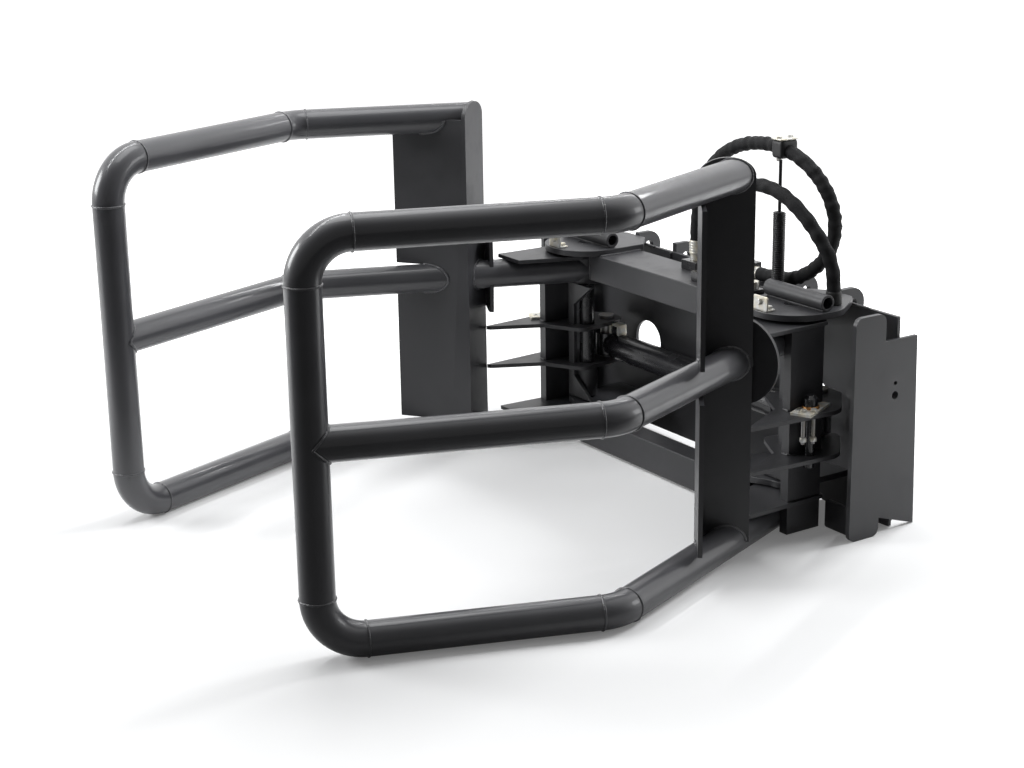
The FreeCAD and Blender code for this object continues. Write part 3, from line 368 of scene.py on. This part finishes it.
def rounded_path(corners, radius, steps=14):
    """Straight runs joined by tangent arcs: arc = centre + radius * (cos, sin) in the corner's plane."""
    corners = [np.asarray(corner, float) for corner in corners]
    parts = [corners[0][None]]
    for before, corner, after in zip(corners, corners[1:], corners[2:]):
        back, ahead = unit(before - corner), unit(after - corner)
        half = (math.pi - math.acos(float(np.clip(back @ ahead, -1, 1)))) / 2
        start = corner + back * radius * math.tan(half)
        centre = corner + unit(back + ahead) * radius / math.cos(half)
        spoke = start - centre
        turn = np.linspace(0, 2 * half, steps)[:, None]
        parts.append(centre + np.cos(turn) * spoke - np.sin(turn) * back * radius)
    parts.append(corners[-1][None])
    return np.concatenate(parts)


def distances(path):
    """Distance of each point of a path from its start, along the path."""
    return np.concatenate([[0.0], np.cumsum(np.linalg.norm(np.diff(path, axis=0), axis=1))])


def points_at(path, places):
    """Points of a path at the given distances from its start."""
    lengths = distances(path)
    return np.stack([np.interp(places, lengths, path[:, k]) for k in range(3)], axis=1)


def refined(path, step):
    """The same line with points about step apart."""
    lengths = distances(path)
    count = max(2, int(math.ceil(lengths[-1] / step)) + 1)
    places = np.union1d(np.linspace(0, lengths[-1], count), lengths)
    keep = np.concatenate([[True], np.diff(places) > 1e-5])
    return points_at(path, places[keep])


def circle(segments):
    turn = np.linspace(0, 2 * math.pi, segments, endpoint=False)
    return np.stack([np.cos(turn), np.sin(turn)], axis=1)


def swept(path, profile, upright, closed=False):
    """Profile carried along a path: point = path + a * side + b * rise, with side = tangent x upright."""
    if closed:
        tangent = unit(np.roll(path, -1, axis=0) - np.roll(path, 1, axis=0))
    else:
        tangent = unit(np.gradient(path, axis=0))
    side = unit(np.cross(tangent, upright))
    rise = np.cross(side, tangent)
    return path[:, None] + profile[..., 0, None] * side[:, None] + profile[..., 1, None] * rise[:, None]


def capped(rings):
    """Closes both ends of a tube with a ring drawn in to its own middle."""
    first, last = rings[:1].mean(axis=1, keepdims=True), rings[-1:].mean(axis=1, keepdims=True)
    shape = (1, rings.shape[1], 3)
    return np.concatenate([np.broadcast_to(first, shape), rings[:1], rings, rings[-1:],
                           np.broadcast_to(last, shape)])


def tube(path, radius, upright=UP, segments=PIPE_SEGMENTS):
    """Closed round tube: circle of the given radius carried along the path."""
    return capped(swept(path, radius * circle(segments), upright))


def side_axes(axis):
    """Two unit vectors square to an axis and to each other."""
    axis = unit(np.asarray(axis, float))
    other = UP if abs(axis[2]) < 0.9 else AXIS["x"]
    first = unit(np.cross(axis, other))
    return np.stack([first, np.cross(axis, first)])


def turned(base, axis, profile, segments):
    """Surface of revolution: point = base + axis * height + radius * (cos, sin) for each profile row."""
    around = circle(segments) @ side_axes(axis)
    radius, height = np.asarray(profile, float).T
    return base + height[:, None, None] * axis + radius[:, None, None] * around[None]


def softened(profile, round_by=0.0006):
    """Profile with each corner cut by a small chamfer, so that edges catch the light."""
    profile = np.asarray(profile, float)
    rows = [profile[0]]
    for before, corner, after in zip(profile, profile[1:], profile[2:]):
        for end in (before, after):
            length = np.linalg.norm(end - corner)
            rows.append(corner + (end - corner) * min(round_by / max(length, 1e-9), 0.45))
    rows.append(profile[-1])
    return np.array(rows)


def hexagon_head(base, axis, across, height):
    """Hexagonal head or nut: radius = across/2 / cos(angle to the nearest flat), with a turned chamfer."""
    segments = 48
    turn = np.linspace(0, 2 * math.pi, segments, endpoint=False)
    outline = across / 2 / np.cos(turn % (math.pi / 3) - math.pi / 6)
    rounded = np.minimum(outline, across / 2 * 1.07)
    around = circle(segments) @ side_axes(axis)
    rows = [(0.0, 0 * outline), (0.0, rounded * 0.97), (0.06 * height, outline), (0.88 * height, outline),
            (height, rounded * 0.93), (height, 0 * outline)]
    return np.stack([base + axis * level + around * radius[:, None] for level, radius in rows])


def add_bead(shell, path, upright, size, closed, seed):
    """Weld bead: a flattened circle carried along the joint, its size rippled with each pool of metal."""
    pool_length, knot_step, taper = 0.0052, 0.012, 0.003
    path = refined(np.concatenate([path, path[:1]]) if closed else path, BEAD_STEP)
    if closed:
        path = path[:-1]
    lengths = np.arange(len(path)) * BEAD_STEP
    random = np.random.default_rng(seed)
    knots = np.arange(0, lengths[-1] + 0.05, knot_step)
    wander = np.interp(lengths, knots, random.normal(0, 0.09, len(knots)))
    pool = 0.92 + 0.10 * np.abs(np.sin(math.pi * lengths / pool_length)) + wander
    if not closed:
        pool = pool * np.clip(np.minimum(lengths, lengths[-1] - lengths) / taper + 0.35, 0, 1)
    profile = circle(10) * np.array([1.0, 0.85])
    rings = swept(path, size * pool[:, None, None] * profile[None], upright, closed)
    shell.grid(rings if closed else capped(rings), wrap_rows=closed)


def ring_round(centre, axis, radius, points=120):
    """Circle of points round an axis."""
    return centre + radius * circle(points) @ side_axes(axis)


def pipe_on_plane(through, axis, radius, at, normal):
    """Where a round pipe meets a plane: each line of the pipe is run along the axis to the plane."""
    ring = ring_round(through, axis, radius, 140)
    axis = unit(axis)
    return ring + ((at - ring) @ normal / (axis @ normal))[:, None] * axis


def rail_line(level, rear, front):
    """Plan of one rail at its height: from rear along the straight, round the bend, to front."""
    height = level * UP
    return rounded_path([PIVOT + TO_VERTEX * rear + height, VERTEX + height,
                         TIP - TO_TIP * front + height], ELBOW)


def make_arm(side):
    """Rails, end tube and corner elbows of one arm, and its weld beads."""
    sign, body = SIDES[side], f"{side}_arm"
    rings = {
        "middle_rail": tube(refined(rail_line(MIDDLE_RAIL, 0.0, 0.0), PIPE_STEP), PIPE),
        "bottom_rail": tube(refined(rail_line(LOW_RAIL, 0.0, ELBOW), PIPE_STEP), PIPE),
    }
    # The top rail ends flat against the deep leg: its last ring slides along the rail to that face
    face = POST + POST_SIDE * POST_PLATE
    short_of_face = 0.055
    reach = (face - VERTEX) @ POST_SIDE / (-TO_VERTEX @ POST_SIDE)
    line = refined(rail_line(TOP_RAIL, REAR_LENGTH - reach + short_of_face, ELBOW), PIPE_STEP)
    top = swept(line, PIPE * circle(PIPE_SEGMENTS), UP)
    shift = (face - top[0]) @ POST_SIDE / (TO_VERTEX @ POST_SIDE)
    end_ring = top[0] + shift[:, None] * TO_VERTEX
    rings["top_rail"] = capped(np.concatenate([end_ring[None], top]))

    upright_line = np.array([TIP + UP * (LOW_RAIL + ELBOW), TIP + UP * (TOP_RAIL - ELBOW)])
    rings["end_tube"] = tube(refined(upright_line, PIPE_STEP), PIPE, AXIS["x"])
    for name, points in rings.items():
        piece = Shell(sign).grid(points).build(f"{side}_{name}", body, "pipe", "grey_paint")
        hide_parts(f"{name}_{side}")

    # Each elbow reaches 1 mm into the rail and into the tube
    lap = 0.001
    elbows = Shell(sign)
    for level, turn in CORNERS:
        along_rail = TIP - TO_TIP * ELBOW + level * UP
        along_tube = TIP + (level + turn * ELBOW) * UP
        line = rounded_path([along_rail - TO_TIP * lap, TIP + level * UP, along_tube + turn * UP * lap],
                            ELBOW, 22)
        elbows.grid(tube(line, PIPE, np.cross(TO_TIP, UP)))
    piece = elbows.build(f"{side}_corner_elbows", body, "pipe", "grey_paint")
    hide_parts(f"corner_elbows_{side}")
    make_arm_beads(side)


def make_arm_beads(side):
    """Beads at the elbow seams, round the middle rail's front end, and where the rails meet the post."""
    shell = Shell(SIDES[side])
    seam_radius = PIPE - 0.0012
    seam = ELBOW * math.tan((REAR_TURN + FRONT_TURN) / 2)
    for number, level in enumerate((TOP_RAIL, MIDDLE_RAIL, LOW_RAIL)):
        for direction in (-TO_VERTEX, TO_TIP):
            ring = ring_round(VERTEX + direction * seam + level * UP, direction, seam_radius)
            add_bead(shell, ring, direction, SEAM_BEAD, True, number)
    for level, turn in CORNERS:
        ring = ring_round(TIP - TO_TIP * ELBOW + level * UP, TO_TIP, seam_radius)
        add_bead(shell, ring, TO_TIP, SEAM_BEAD, True, 5)
        ring = ring_round(TIP + (level + turn * ELBOW) * UP, UP, seam_radius)
        add_bead(shell, ring, UP, TUBE_BEAD, True, 6)

    # The middle rail is coped onto the end tube: height = ring height, reach = sqrt(R2 - offset2)
    ring = ring_round(TIP - TO_TIP * ELBOW + MIDDLE_RAIL * UP, TO_TIP, PIPE)
    offset = (ring - TIP) @ np.cross(TO_TIP, UP)
    reach = np.sqrt(np.clip(PIPE ** 2 - offset ** 2, 0, None))
    depth = (ring - TIP) @ TO_TIP
    add_bead(shell, ring - (depth + reach)[:, None] * TO_TIP, TO_TIP, BEAD, True, 7)

    # Each rail is welded to both legs of the post; the wide leg is open on the outer side of the rail
    for level in (TOP_RAIL, MIDDLE_RAIL, LOW_RAIL):
        through = VERTEX + level * UP
        for back in (0.0, POST_PLATE):
            ring = pipe_on_plane(through, TO_VERTEX, PIPE, POST + POST_BACK * back, POST_BACK)
            middle = ring.mean(axis=0)
            kept = ((ring - middle) @ POST_SIDE < 0.001) & (ring[:, 2] < TOP_RAIL) & (ring[:, 2] > LOW_RAIL)
            add_open_ring(shell, ring, kept, POST_BACK)
        if level == TOP_RAIL:
            ring = pipe_on_plane(through, TO_VERTEX, PIPE - 0.001, POST + POST_SIDE * POST_PLATE, POST_SIDE)
            add_bead(shell, ring, POST_SIDE, BEAD, True, 8)
            continue
        for side_at in (0.0, POST_PLATE):
            ring = pipe_on_plane(through, TO_VERTEX, PIPE, POST + POST_SIDE * side_at, POST_SIDE)
            back = (ring - POST) @ POST_BACK
            kept = (back > 0.0) & (back < POST_DEEP) & (ring[:, 2] > LOW_RAIL)
            add_open_ring(shell, ring, kept, POST_SIDE)
    shell.build(f"{side}_arm_beads", f"{side}_arm", "pipe", "grey_paint", 60.0)


def add_open_ring(shell, ring, kept, upright):
    """Lays a bead along the first stretch of a ring that is kept, unless it is very short."""
    if kept.all():
        add_bead(shell, ring, upright, BEAD, True, 9)
        return
    if not kept.any():
        return
    start = int(np.flatnonzero(kept & ~np.roll(kept, 1))[0])
    order = np.roll(np.arange(len(ring)), -start)
    count = int(np.argmin(kept[order]))
    shortest = 7
    if count >= shortest:
        add_bead(shell, ring[order][:count], upright, BEAD, False, 10)


for side in SIDES:
    make_arm(side)


def cut_away(work, point, normal):
    """Cuts off what lies beyond a plane and closes the cut."""
    parts = work.verts[:] + work.edges[:] + work.faces[:]
    made = bmesh.ops.bisect_plane(work, geom=parts, dist=1e-6, plane_co=point, plane_no=normal,
                                  clear_outer=True)
    edges = [part for part in made["geom_cut"] if isinstance(part, bmesh.types.BMEdge)]
    if edges:
        bmesh.ops.holes_fill(work, edges=edges, sides=0)


def round_post_top(work, sign):
    """Rounds the deep leg over the rail: back = middle + half * cos, height = rail + rise * sin."""
    middle, half, rise = 0.060, 0.061, 0.0394
    for turn in np.radians(np.arange(14, 167, 8.0)):
        across, up = math.cos(turn), math.sin(turn)
        point = POST + POST_BACK * (middle + half * across) + UP * (TOP_RAIL + rise * up)
        normal = POST_BACK * across / half + UP * up / rise
        cut_away(work, mirror(point, sign), mirror(normal, sign))


# The cuts across the top hinge plate's rear corners, each from one edge of the plate to the next
PLATE_CUTS = (((0.4300, 0.6980), (0.5100, 0.6300)), ((0.2930, 0.6450), (0.3550, 0.6980)))


def crop_plate_corners(work, sign):
    """Cuts the rear corners of the top hinge plate, so that the lugs behind it show."""
    for first, second in PLATE_CUTS:
        run = np.array([second[0] - first[0], second[1] - first[1], 0.0])
        normal = unit(np.array([-run[1], run[0], 0.0]))
        cut_away(work, mirror(np.array([*first, 0.0]), sign), mirror(normal, sign))


def draw_in_collar(work, sign):
    """Draws the collar's rim in towards the rail, and leaves its bore as it is."""
    share, bore = 0.8, PIPE + 0.012
    centre = mirror(VERTEX + MIDDLE_RAIL * UP, sign)
    along = mirror(TO_VERTEX, sign)
    for vertex in work.verts:
        place = np.array(vertex.co)
        middle = centre + along * ((place - centre) @ along)
        if np.linalg.norm(place - middle) > bore:
            vertex.co = Vector(middle + (place - middle) * share)


def dressed(node, material, bevel=0.0012, segments=2, shape=None):
    """Copy of a CAD node, its flat faces joined and edges rounded, with its mesh first changed by shape."""
    source = nodes[node]
    mesh = source.data.copy()
    mesh.name = "shown_" + node
    mesh.materials.clear()
    mesh.materials.append(MATERIALS[material])
    work = bmesh.new()
    work.from_mesh(mesh)
    bmesh.ops.remove_doubles(work, verts=work.verts, dist=2e-5)
    bmesh.ops.dissolve_limit(work, angle_limit=math.radians(0.6), verts=work.verts, edges=work.edges)
    if shape is not None:
        shape(work, SIDES[node.rsplit("_", 1)[1]])
    work.to_mesh(mesh)
    work.free()
    while mesh.attributes.get("custom_normal"):
        mesh.attributes.remove(mesh.attributes["custom_normal"])
    piece = show("shown_" + node, mesh, source["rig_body"], 32)
    if bevel:
        edge = piece.modifiers.new("edge_round", "BEVEL")
        edge.width = bevel
        edge.segments = segments
        edge.limit_method = "ANGLE"
        edge.angle_limit = math.radians(40)
        edge.harden_normals = True
    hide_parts(node)


PLATES = ["hinge_gussets", "link_plates", "hinge_bar", "hinge_web", "pivot_hubs",
          "low_hinge_plate", "end_cheek", "hitch_plate", "hitch_lugs", "guide_tube"]
for name in PLATES:
    for side in SIDES:
        dressed(f"{name}_{side}", "plate")
for side in SIDES:
    dressed(f"post_{side}", "plate", shape=round_post_top)
    dressed(f"collar_{side}", "plate", shape=draw_in_collar)
    dressed(f"top_hinge_plate_{side}", "plate", shape=crop_plate_corners)
for name, bevel in (("top_beam", 0.0030), ("low_beam", 0.0030), ("back_plate", 0.0012)):
    dressed(name, "plate", bevel, 3)
for side in SIDES:
    for name, material in (("pivot_pin", "gloss"), ("lever_pin", "iron"), ("lock_pin", "gloss"),
                           ("flag_plate", "flag")):
        dressed(f"{name}_{side}", material, 0.0008)
for name, material, bevel in (("cylinder_barrel", "gloss", 0.0012), ("cylinder_gland", "gloss", 0.0012),
                              ("cylinder_rod", "chrome", 0.0), ("cylinder_piston", "iron", 0.0),
                              ("port_blocks", "gloss", 0.0014), ("hose_fittings", "zinc", 0.0008),
                              ("support_rod", "spring", 0.0)):
    dressed(name, material, bevel)


# Control points of the hoses, chosen along what the photograph shows, as in the solids
HOSE_DIAMETER = 0.032
HIGH_HOSE = [(-0.042, 0.618, 0.545), (-0.042, 0.618, 0.622), (-0.028, 0.618, 0.705), (0.012, 0.620, 0.775),
             (0.080, 0.624, 0.825), (0.165, 0.629, 0.848), (0.257, 0.633, 0.847), (0.340, 0.640, 0.815),
             (0.394, 0.652, 0.755), (0.412, 0.660, 0.685), (0.396, 0.658, 0.618), (0.340, 0.652, 0.562),
             (0.262, 0.645, 0.528), (0.168, 0.645, 0.528)]
LOW_HOSE = [(0.071, 0.558, 0.545), (0.071, 0.558, 0.622), (0.100, 0.558, 0.692), (0.166, 0.559, 0.746),
            (0.246, 0.562, 0.770), (0.325, 0.568, 0.760), (0.392, 0.578, 0.718), (0.438, 0.594, 0.660),
            (0.461, 0.612, 0.600), (0.461, 0.612, 0.536)]


def spline_line(route):
    """Points along the smooth NURBS spline whose control points are the route."""
    curve = bpy.data.curves.new("route", "CURVE")
    curve.dimensions = "3D"
    curve.resolution_u = 24
    spline = curve.splines.new("NURBS")
    spline.points.add(len(route) - 1)
    spline.points.foreach_set("co", np.hstack([np.array(route), np.ones((len(route), 1))]).ravel())
    spline.order_u = 3
    spline.use_endpoint_u = True
    bare = bpy.data.objects.new("route", curve)
    mesh = bpy.data.meshes.new_from_object(bare)
    line = np.zeros(len(mesh.vertices) * 3)
    mesh.vertices.foreach_get("co", line)
    bpy.data.meshes.remove(mesh)
    bpy.data.objects.remove(bare)
    bpy.data.curves.remove(curve)
    return line.reshape(-1, 3)


def make_hose(name, route, node, seed):
    """Hose in a loose woven sleeve: radius = hose + folds that ripple round and along it."""
    ring_step, segments, fold, plain_end = 0.0022, 36, 0.00052, 0.03
    line = spline_line(route)
    length = distances(line)[-1]
    places = np.linspace(0, length, int(length / ring_step))
    path = points_at(line, places)
    turn = np.linspace(0, 2 * math.pi, segments, endpoint=False)
    random = np.random.default_rng(seed)
    ripple = np.zeros((len(places), segments))
    for _ in range(9):
        wave = random.uniform(0.020, 0.048)
        phase, lean = random.uniform(0, 2 * math.pi, 2)
        centre = random.uniform(0, 2 * math.pi)
        patch = 0.5 + 0.5 * np.cos(turn - centre)[None]
        ripple += fold * patch * np.sin(2 * math.pi * places[:, None] / wave + phase
                                        + 1.3 * np.sin(turn[None] + lean))
    ends = np.clip(np.minimum(places, length - places) / plain_end, 0.0, 1.0)[:, None]
    radius = HOSE_DIAMETER / 2 + ripple * ends
    points = capped(swept(path, circle(segments) * radius[..., None], AXIS["y"]))
    # Each cap has two rings at its end of the hose
    rounds = np.concatenate([[0.0], places[:1], places, places[-1:], places[-1:]])
    rounds = rounds / (math.pi * HOSE_DIAMETER)
    uv = np.stack(np.broadcast_arrays(rounds[:, None], turn[None] / (2 * math.pi)), axis=-1).reshape(-1, 2)
    piece = Shell().grid(points).build(name, "frame", "hose", "hose_cover", 60.0, uv)
    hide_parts(node)


make_hose("high_hose_sleeve", HIGH_HOSE, "high_hose", 3)
make_hose("low_hose_sleeve", LOW_HOSE, "low_hose", 4)


def make_spring():
    """Close coil round the support rod: point = middle + R (cos t, sin t), rising evenly with t."""
    low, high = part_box("hose_spring")
    middle = (np.array(low) + np.array(high)) / 2
    wire, turns, steps_a_turn = 0.0022, 43, 28
    radius = (high.x - low.x) / 2 - wire
    turn = np.linspace(0, 2 * math.pi * turns, turns * steps_a_turn)
    height = np.linspace(low.z + wire, high.z - wire, len(turn))
    line = np.stack([middle[0] + radius * np.cos(turn), middle[1] + radius * np.sin(turn), height], axis=1)
    piece = Shell().grid(tube(line, wire, UP, 10)).build(
        "support_spring", "frame", "spring", "spring_steel", 60.0)
    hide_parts("hose_spring")


make_spring()


def pressed(wave, power):
    """Sine or cosine raised to a small power, sign kept, so that it stays near 1 for longer."""
    return np.sign(wave) * np.abs(wave) ** power


def pillow(middle, half, power=0.35):
    """Rounded block: middle + half size * pressed sines and cosines; a smaller power is squarer."""
    rise = np.linspace(-math.pi / 2, math.pi / 2, 28)[:, None]
    turn = np.linspace(-math.pi, math.pi, 48, endpoint=False)[None]
    level = pressed(np.cos(rise), power)
    points = np.stack([level * pressed(np.cos(turn), power), level * pressed(np.sin(turn), power),
                       pressed(np.sin(rise), power) * np.ones_like(turn)], axis=-1)
    return np.asarray(middle) + points * np.asarray(half)


# Middle of the hose clamp, foot of the barrel's port, and tops of the locking pin and its plate's bolts
CLAMP = np.array([0.257, 0.6345, 0.8445])
PORT = np.array([-0.366, 0.6175, 0.2664])
LOCK_PIN = np.array([0.515, 0.5025, 0.306])
FLAG_BOLTS = np.array([[0.531, 0.468, 0.306], [0.5405, 0.4900, 0.306]])


def make_clamp():
    """Hose clamp: moulded block, cover plate on top, and two bolts whose nuts show below."""
    across_flats, bolt_at = 0.011, 0.017
    block = Shell().grid(pillow(CLAMP, (0.019, 0.026, 0.0222)))
    piece = block.build("hose_clamp_block", "frame", "clamp", SLOTS["hose_clamp"], 50.0)
    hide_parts("hose_clamp")
    cover = Shell().grid(pillow(CLAMP + UP * 0.0232, (0.020, 0.027, 0.0018), 0.22))
    for step in (-bolt_at, bolt_at):
        place = CLAMP + AXIS["y"] * step
        cover.grid(hexagon_head(place + UP * 0.0250, UP, across_flats, 0.0045))
        cover.grid(hexagon_head(place - UP * 0.0220, -UP, across_flats, 0.0055))
    cover.build("hose_clamp_bolts", "frame", "zinc", SLOTS["hose_clamp"])


def make_ferrules():
    """Crimped ferrules where the hoses leave the beam, and a rubber boot on the low hose's other end."""
    length, radius, pinch, pinch_every = 0.034, 0.0176, 0.0007, 0.0068
    along = np.linspace(0.0, length, 60)
    outline = radius - pinch * np.clip(np.cos(2 * math.pi * along / pinch_every), 0, 1) ** 2
    top = length + 0.0006
    profile = [(0.0, 0.0), (0.0160, 0.0), *zip(outline, along), (0.0158, top), (0.0, top)]
    for number, route in ((1, HIGH_HOSE), (2, LOW_HOSE)):
        shell = Shell().grid(turned(np.array(route[0]) - 0.002 * UP, UP, profile, 48))
        shell.build(f"ferrule_{number}", "frame", "zinc", SLOTS["hose_fittings"], 30.0)
    boot = softened([(0.0, 0.0), (0.0192, 0.0), (0.0186, 0.022), (0.0170, 0.030), (0.0, 0.030)], 0.0012)
    shell = Shell().grid(turned(np.array(LOW_HOSE[-1]) - 0.017 * UP, UP, boot, 48))
    shell.build("low_hose_boot", "frame", "rubber", SLOTS["low_hose"])


def make_cylinder_port():
    """Bright square port frame on top of the barrel, with a plugged port inside it."""
    side_at, deep, wall = 0.017, 0.014, 0.0032
    shell = Shell()
    for step in (-side_at, side_at):
        shell.grid(pillow(PORT + np.array([step, 0.0, 0.012]), (wall, deep, deep), 0.2))
    shell.grid(pillow(PORT + UP * 0.0245, (side_at + wall, deep, wall), 0.2))
    shell.build("port_frame", "cylinder_tube", "zinc", SLOTS["hose_fittings"])
    plug = Shell().grid(pillow(PORT + UP * 0.009, (0.0125, 0.012, 0.0110), 0.3))
    plug.grid(hexagon_head(PORT - AXIS["y"] * 0.011 + UP * 0.011, -AXIS["y"], 0.016, 0.005))
    plug.build("port_plug", "cylinder_tube", "gloss", SLOTS["cylinder_barrel"])


def make_flag_bolts(side):
    """Bronze ring round the locking pin, and two long bolts down through the flag plate."""
    sign, body, slot = SIDES[side], f"{side}_arm", SLOTS[f"flag_plate_{side}"]
    ring = softened([(0.0132, 0.0), (0.0205, 0.0), (0.0205, 0.0052), (0.0185, 0.0062), (0.0132, 0.0062)])
    ring = np.vstack([ring, ring[:1]])
    Shell(sign).grid(turned(LOCK_PIN, UP, ring, 48)).build(f"lock_ring_{side}", body, "bronze", slot)
    radius, length, nut_at = 0.0045, 0.076, 0.070
    shank = softened([(0.0, 0.0), (radius, 0.0), (radius, length), (0.0, length)])
    heads, shanks = Shell(sign), Shell(sign)
    for place in FLAG_BOLTS:
        heads.grid(hexagon_head(place, UP, 0.013, 0.0065))
        shanks.grid(turned(place - UP * length, UP, shank, 24))
        heads.grid(hexagon_head(place - UP * nut_at, UP, 0.014, 0.010))
    heads.build(f"flag_bolts_{side}", body, "zinc", slot)
    shanks.build(f"flag_bolt_shanks_{side}", body, "iron", slot)


def make_bracket(side):
    """Small bright angle on the top hinge plate's front edge, with two bolts on top and one in front."""
    middle, half_width, half_plate, bolt_at = 0.4040, 0.024, 0.0021, 0.013
    shell = Shell(SIDES[side])
    shell.grid(pillow((middle, 0.4560, 0.5200), (half_width, 0.013, half_plate), 0.2))
    shell.grid(pillow((middle, 0.4445, 0.5350), (half_width, half_plate, 0.0170), 0.2))
    for place, axis in (((middle - bolt_at, 0.4590, 0.5220), UP), ((middle + bolt_at, 0.4590, 0.5220), UP),
                        ((middle, 0.4425, 0.5390), -AXIS["y"])):
        shell.grid(hexagon_head(place, axis, 0.013, 0.007))
    shell.build(f"plate_bracket_{side}", "frame", "zinc", SLOTS["hose_fittings"])


def make_feet(side):
    """Closing plate inside the end cheek, low enough for the arm's gussets, and a skid under the frame."""
    for name, middle, half, slot in (
            ("cheek_foot", (0.5440, 0.5740, 0.0350), (0.0440, 0.0040, 0.0340), SLOTS[f"end_cheek_{side}"]),
            ("back_skid", (0.4740, 0.6925, 0.0085), (0.1140, 0.0049, 0.0078), SLOTS["back_plate"])):
        shell = Shell(SIDES[side]).grid(pillow(middle, half, 0.12))
        shell.build(f"{name}_{side}", "frame", "plate", slot, 30.0)


# Straight welds, by body: both ends of each joint on the right side, and the size of its bead
FRAME_WELDS = [((0.2937, 0.5085, 0.5035), (0.2937, 0.6365, 0.5035), 0.0040),
               ((0.3380, 0.5085, 0.5015), (0.3380, 0.5085, 0.4340), 0.0036),
               ((0.2300, 0.4660, 0.0865), (0.2300, 0.5240, 0.0865), 0.0040),
               ((0.3080, 0.5485, 0.5190), (0.5000, 0.5485, 0.5190), 0.0034),
               ((0.3080, 0.5625, 0.5190), (0.5000, 0.5625, 0.5190), 0.0034),
               ((0.2300, 0.6865, 0.4000), (0.2300, 0.6865, 0.5020), 0.0036),
               ((0.2960, 0.6865, 0.5040), (0.5000, 0.6865, 0.5040), 0.0040)]
ARM_WELDS = [((0.4740, 0.4570, 0.3010), (0.4960, 0.4570, 0.3010), 0.0036),
             ((0.4975, 0.4590, 0.1960), (0.4975, 0.5530, 0.1960), 0.0036),
             ((0.4740, 0.4570, 0.1960), (0.4960, 0.4570, 0.1960), 0.0036),
             ((0.4975, 0.4590, 0.1845), (0.4975, 0.5530, 0.1845), 0.0036),
             ((0.4975, 0.4590, 0.2895), (0.4975, 0.5530, 0.2895), 0.0036)]


def make_welds(side):
    """Straight beads of one side, on the frame and on the arm."""
    for body, welds in (("frame", FRAME_WELDS), (f"{side}_arm", ARM_WELDS)):
        shell = Shell(SIDES[side])
        for seed, (start, end, size) in enumerate(welds, 20):
            level = abs(end[2] - start[2]) < 0.01
            add_bead(shell, np.array([start, end]), UP if level else AXIS["x"], size, False, seed)
        shell.build(f"{body}_welds_{side}", body, "plate", SLOTS[f"end_cheek_{side}"], 60.0)


make_clamp()
make_ferrules()
make_cylinder_port()
make_flag_bolts("right")
for side in SIDES:
    make_bracket(side)
    make_feet(side)
    make_welds(side)


def make_floor():
    """White floor with the soft shadow, plain white far from the object; its near side lights less."""
    reach = 14.0
    mesh = bpy.data.meshes.new("studio_floor")
    mesh.from_pydata([(-reach, -reach, 0), (reach, -reach, 0), (reach, reach, 0), (-reach, reach, 0)],
                     [], [(0, 1, 2, 3)])
    floor = bpy.data.objects.new("studio_floor", mesh)
    bpy.context.scene.collection.objects.link(floor)
    recipe = Recipe("floor_white")
    seen = recipe.node("LightPath", output=0)
    glossy = recipe.node("LightPath", output=3)
    away = recipe.node("VectorMath", {"operation": "LENGTH"}, {0: recipe.place}, 1).ramp(0.9, 2.4)
    near_side = recipe.place.dot((0.80, -0.60, 0.0)).ramp(0.2, 1.2)
    shaded = near_side * (1 - seen)
    glow = seen.maths("MAXIMUM", seen, glossy * 0.6 * (1 - shaded))
    recipe.finish({
        "Base Color": recipe.mix(shaded, rgb(0.86, 0.86, 0.86), rgb(0.12, 0.12, 0.12)),
        "Roughness": 0.9,
        "Specular IOR Level": 0.1,
        "Emission Color": rgb(1, 1, 1),
        "Emission Strength": glow * (away * 0.80 + 0.12),
    })
    mesh.materials.append(recipe.material)


def make_world():
    """White to the eye; as light it is dim on the near side, and reflections show it brighter."""
    world = bpy.data.worlds.new("studio")
    bpy.context.scene.world = world
    sky = Nodes(world)
    near_side = sky.node("TexCoord").dot((0.80, -0.55, -0.22))
    seen, glossy = sky.node("LightPath"), sky.node("LightPath", output=3)
    light = near_side.ramp(-0.4, 0.5, 0.27, 0.05) * (glossy * 3.4 + 1.0)
    strength = sky.node("Mix", {"data_type": "FLOAT"}, {0: seen, 2: light, 3: 1.0})
    sky.end("World", sky.node("Background", {}, {"Color": rgb(1.0, 1.0, 1.0), "Strength": strength}))


# Lamps: name, place, target, width, height and watts
LAMPS = (("overhead", (-0.3, -0.2, 3.0), (0.0, 0.0, 0.3), 2.0, 1.2, 22.0),
         ("behind", (0.4, 2.6, 2.3), (0.0, 0.1, 0.1), 1.4, 0.9, 92.0),
         ("strip", (-1.3, -0.9, 3.1), (0.2, -0.2, 0.5), 3.4, 0.08, 34.0),
         ("rear_strip", (-0.9, 2.0, 2.6), (0.3, 0.0, 0.6), 2.6, 0.05, 9.0),
         ("left_side", (-2.3, -3.1, 1.9), (0.0, 0.0, 0.5), 1.6, 1.6, 88.0),
         ("right_side", (2.8, 3.9, 1.6), (0.4, 0.5, 0.3), 1.2, 1.6, 22.0))


def make_lamps():
    """Broad lamps above, behind and at both sides; the two strips draw thin lines along the pipes."""
    for name, place, target, width, height, watts in LAMPS:
        lamp = bpy.data.lights.new(name, "AREA")
        lamp.shape = "RECTANGLE"
        lamp.size, lamp.size_y = width, height
        lamp.energy = watts
        lamp.color = (0.98, 0.99, 1.0)
        holder = bpy.data.objects.new(name, lamp)
        bpy.context.scene.collection.objects.link(holder)
        holder.location = place
        # The lamp behind would show as a broad white patch on the rails
        holder.visible_glossy = name != "behind"
        holder.rotation_mode = "QUATERNION"
        holder.rotation_quaternion = (Vector(target) - Vector(place)).to_track_quat("-Z", "Y")


make_floor()
make_world()
make_lamps()
bpy.context.scene.view_settings.view_transform = "Standard"
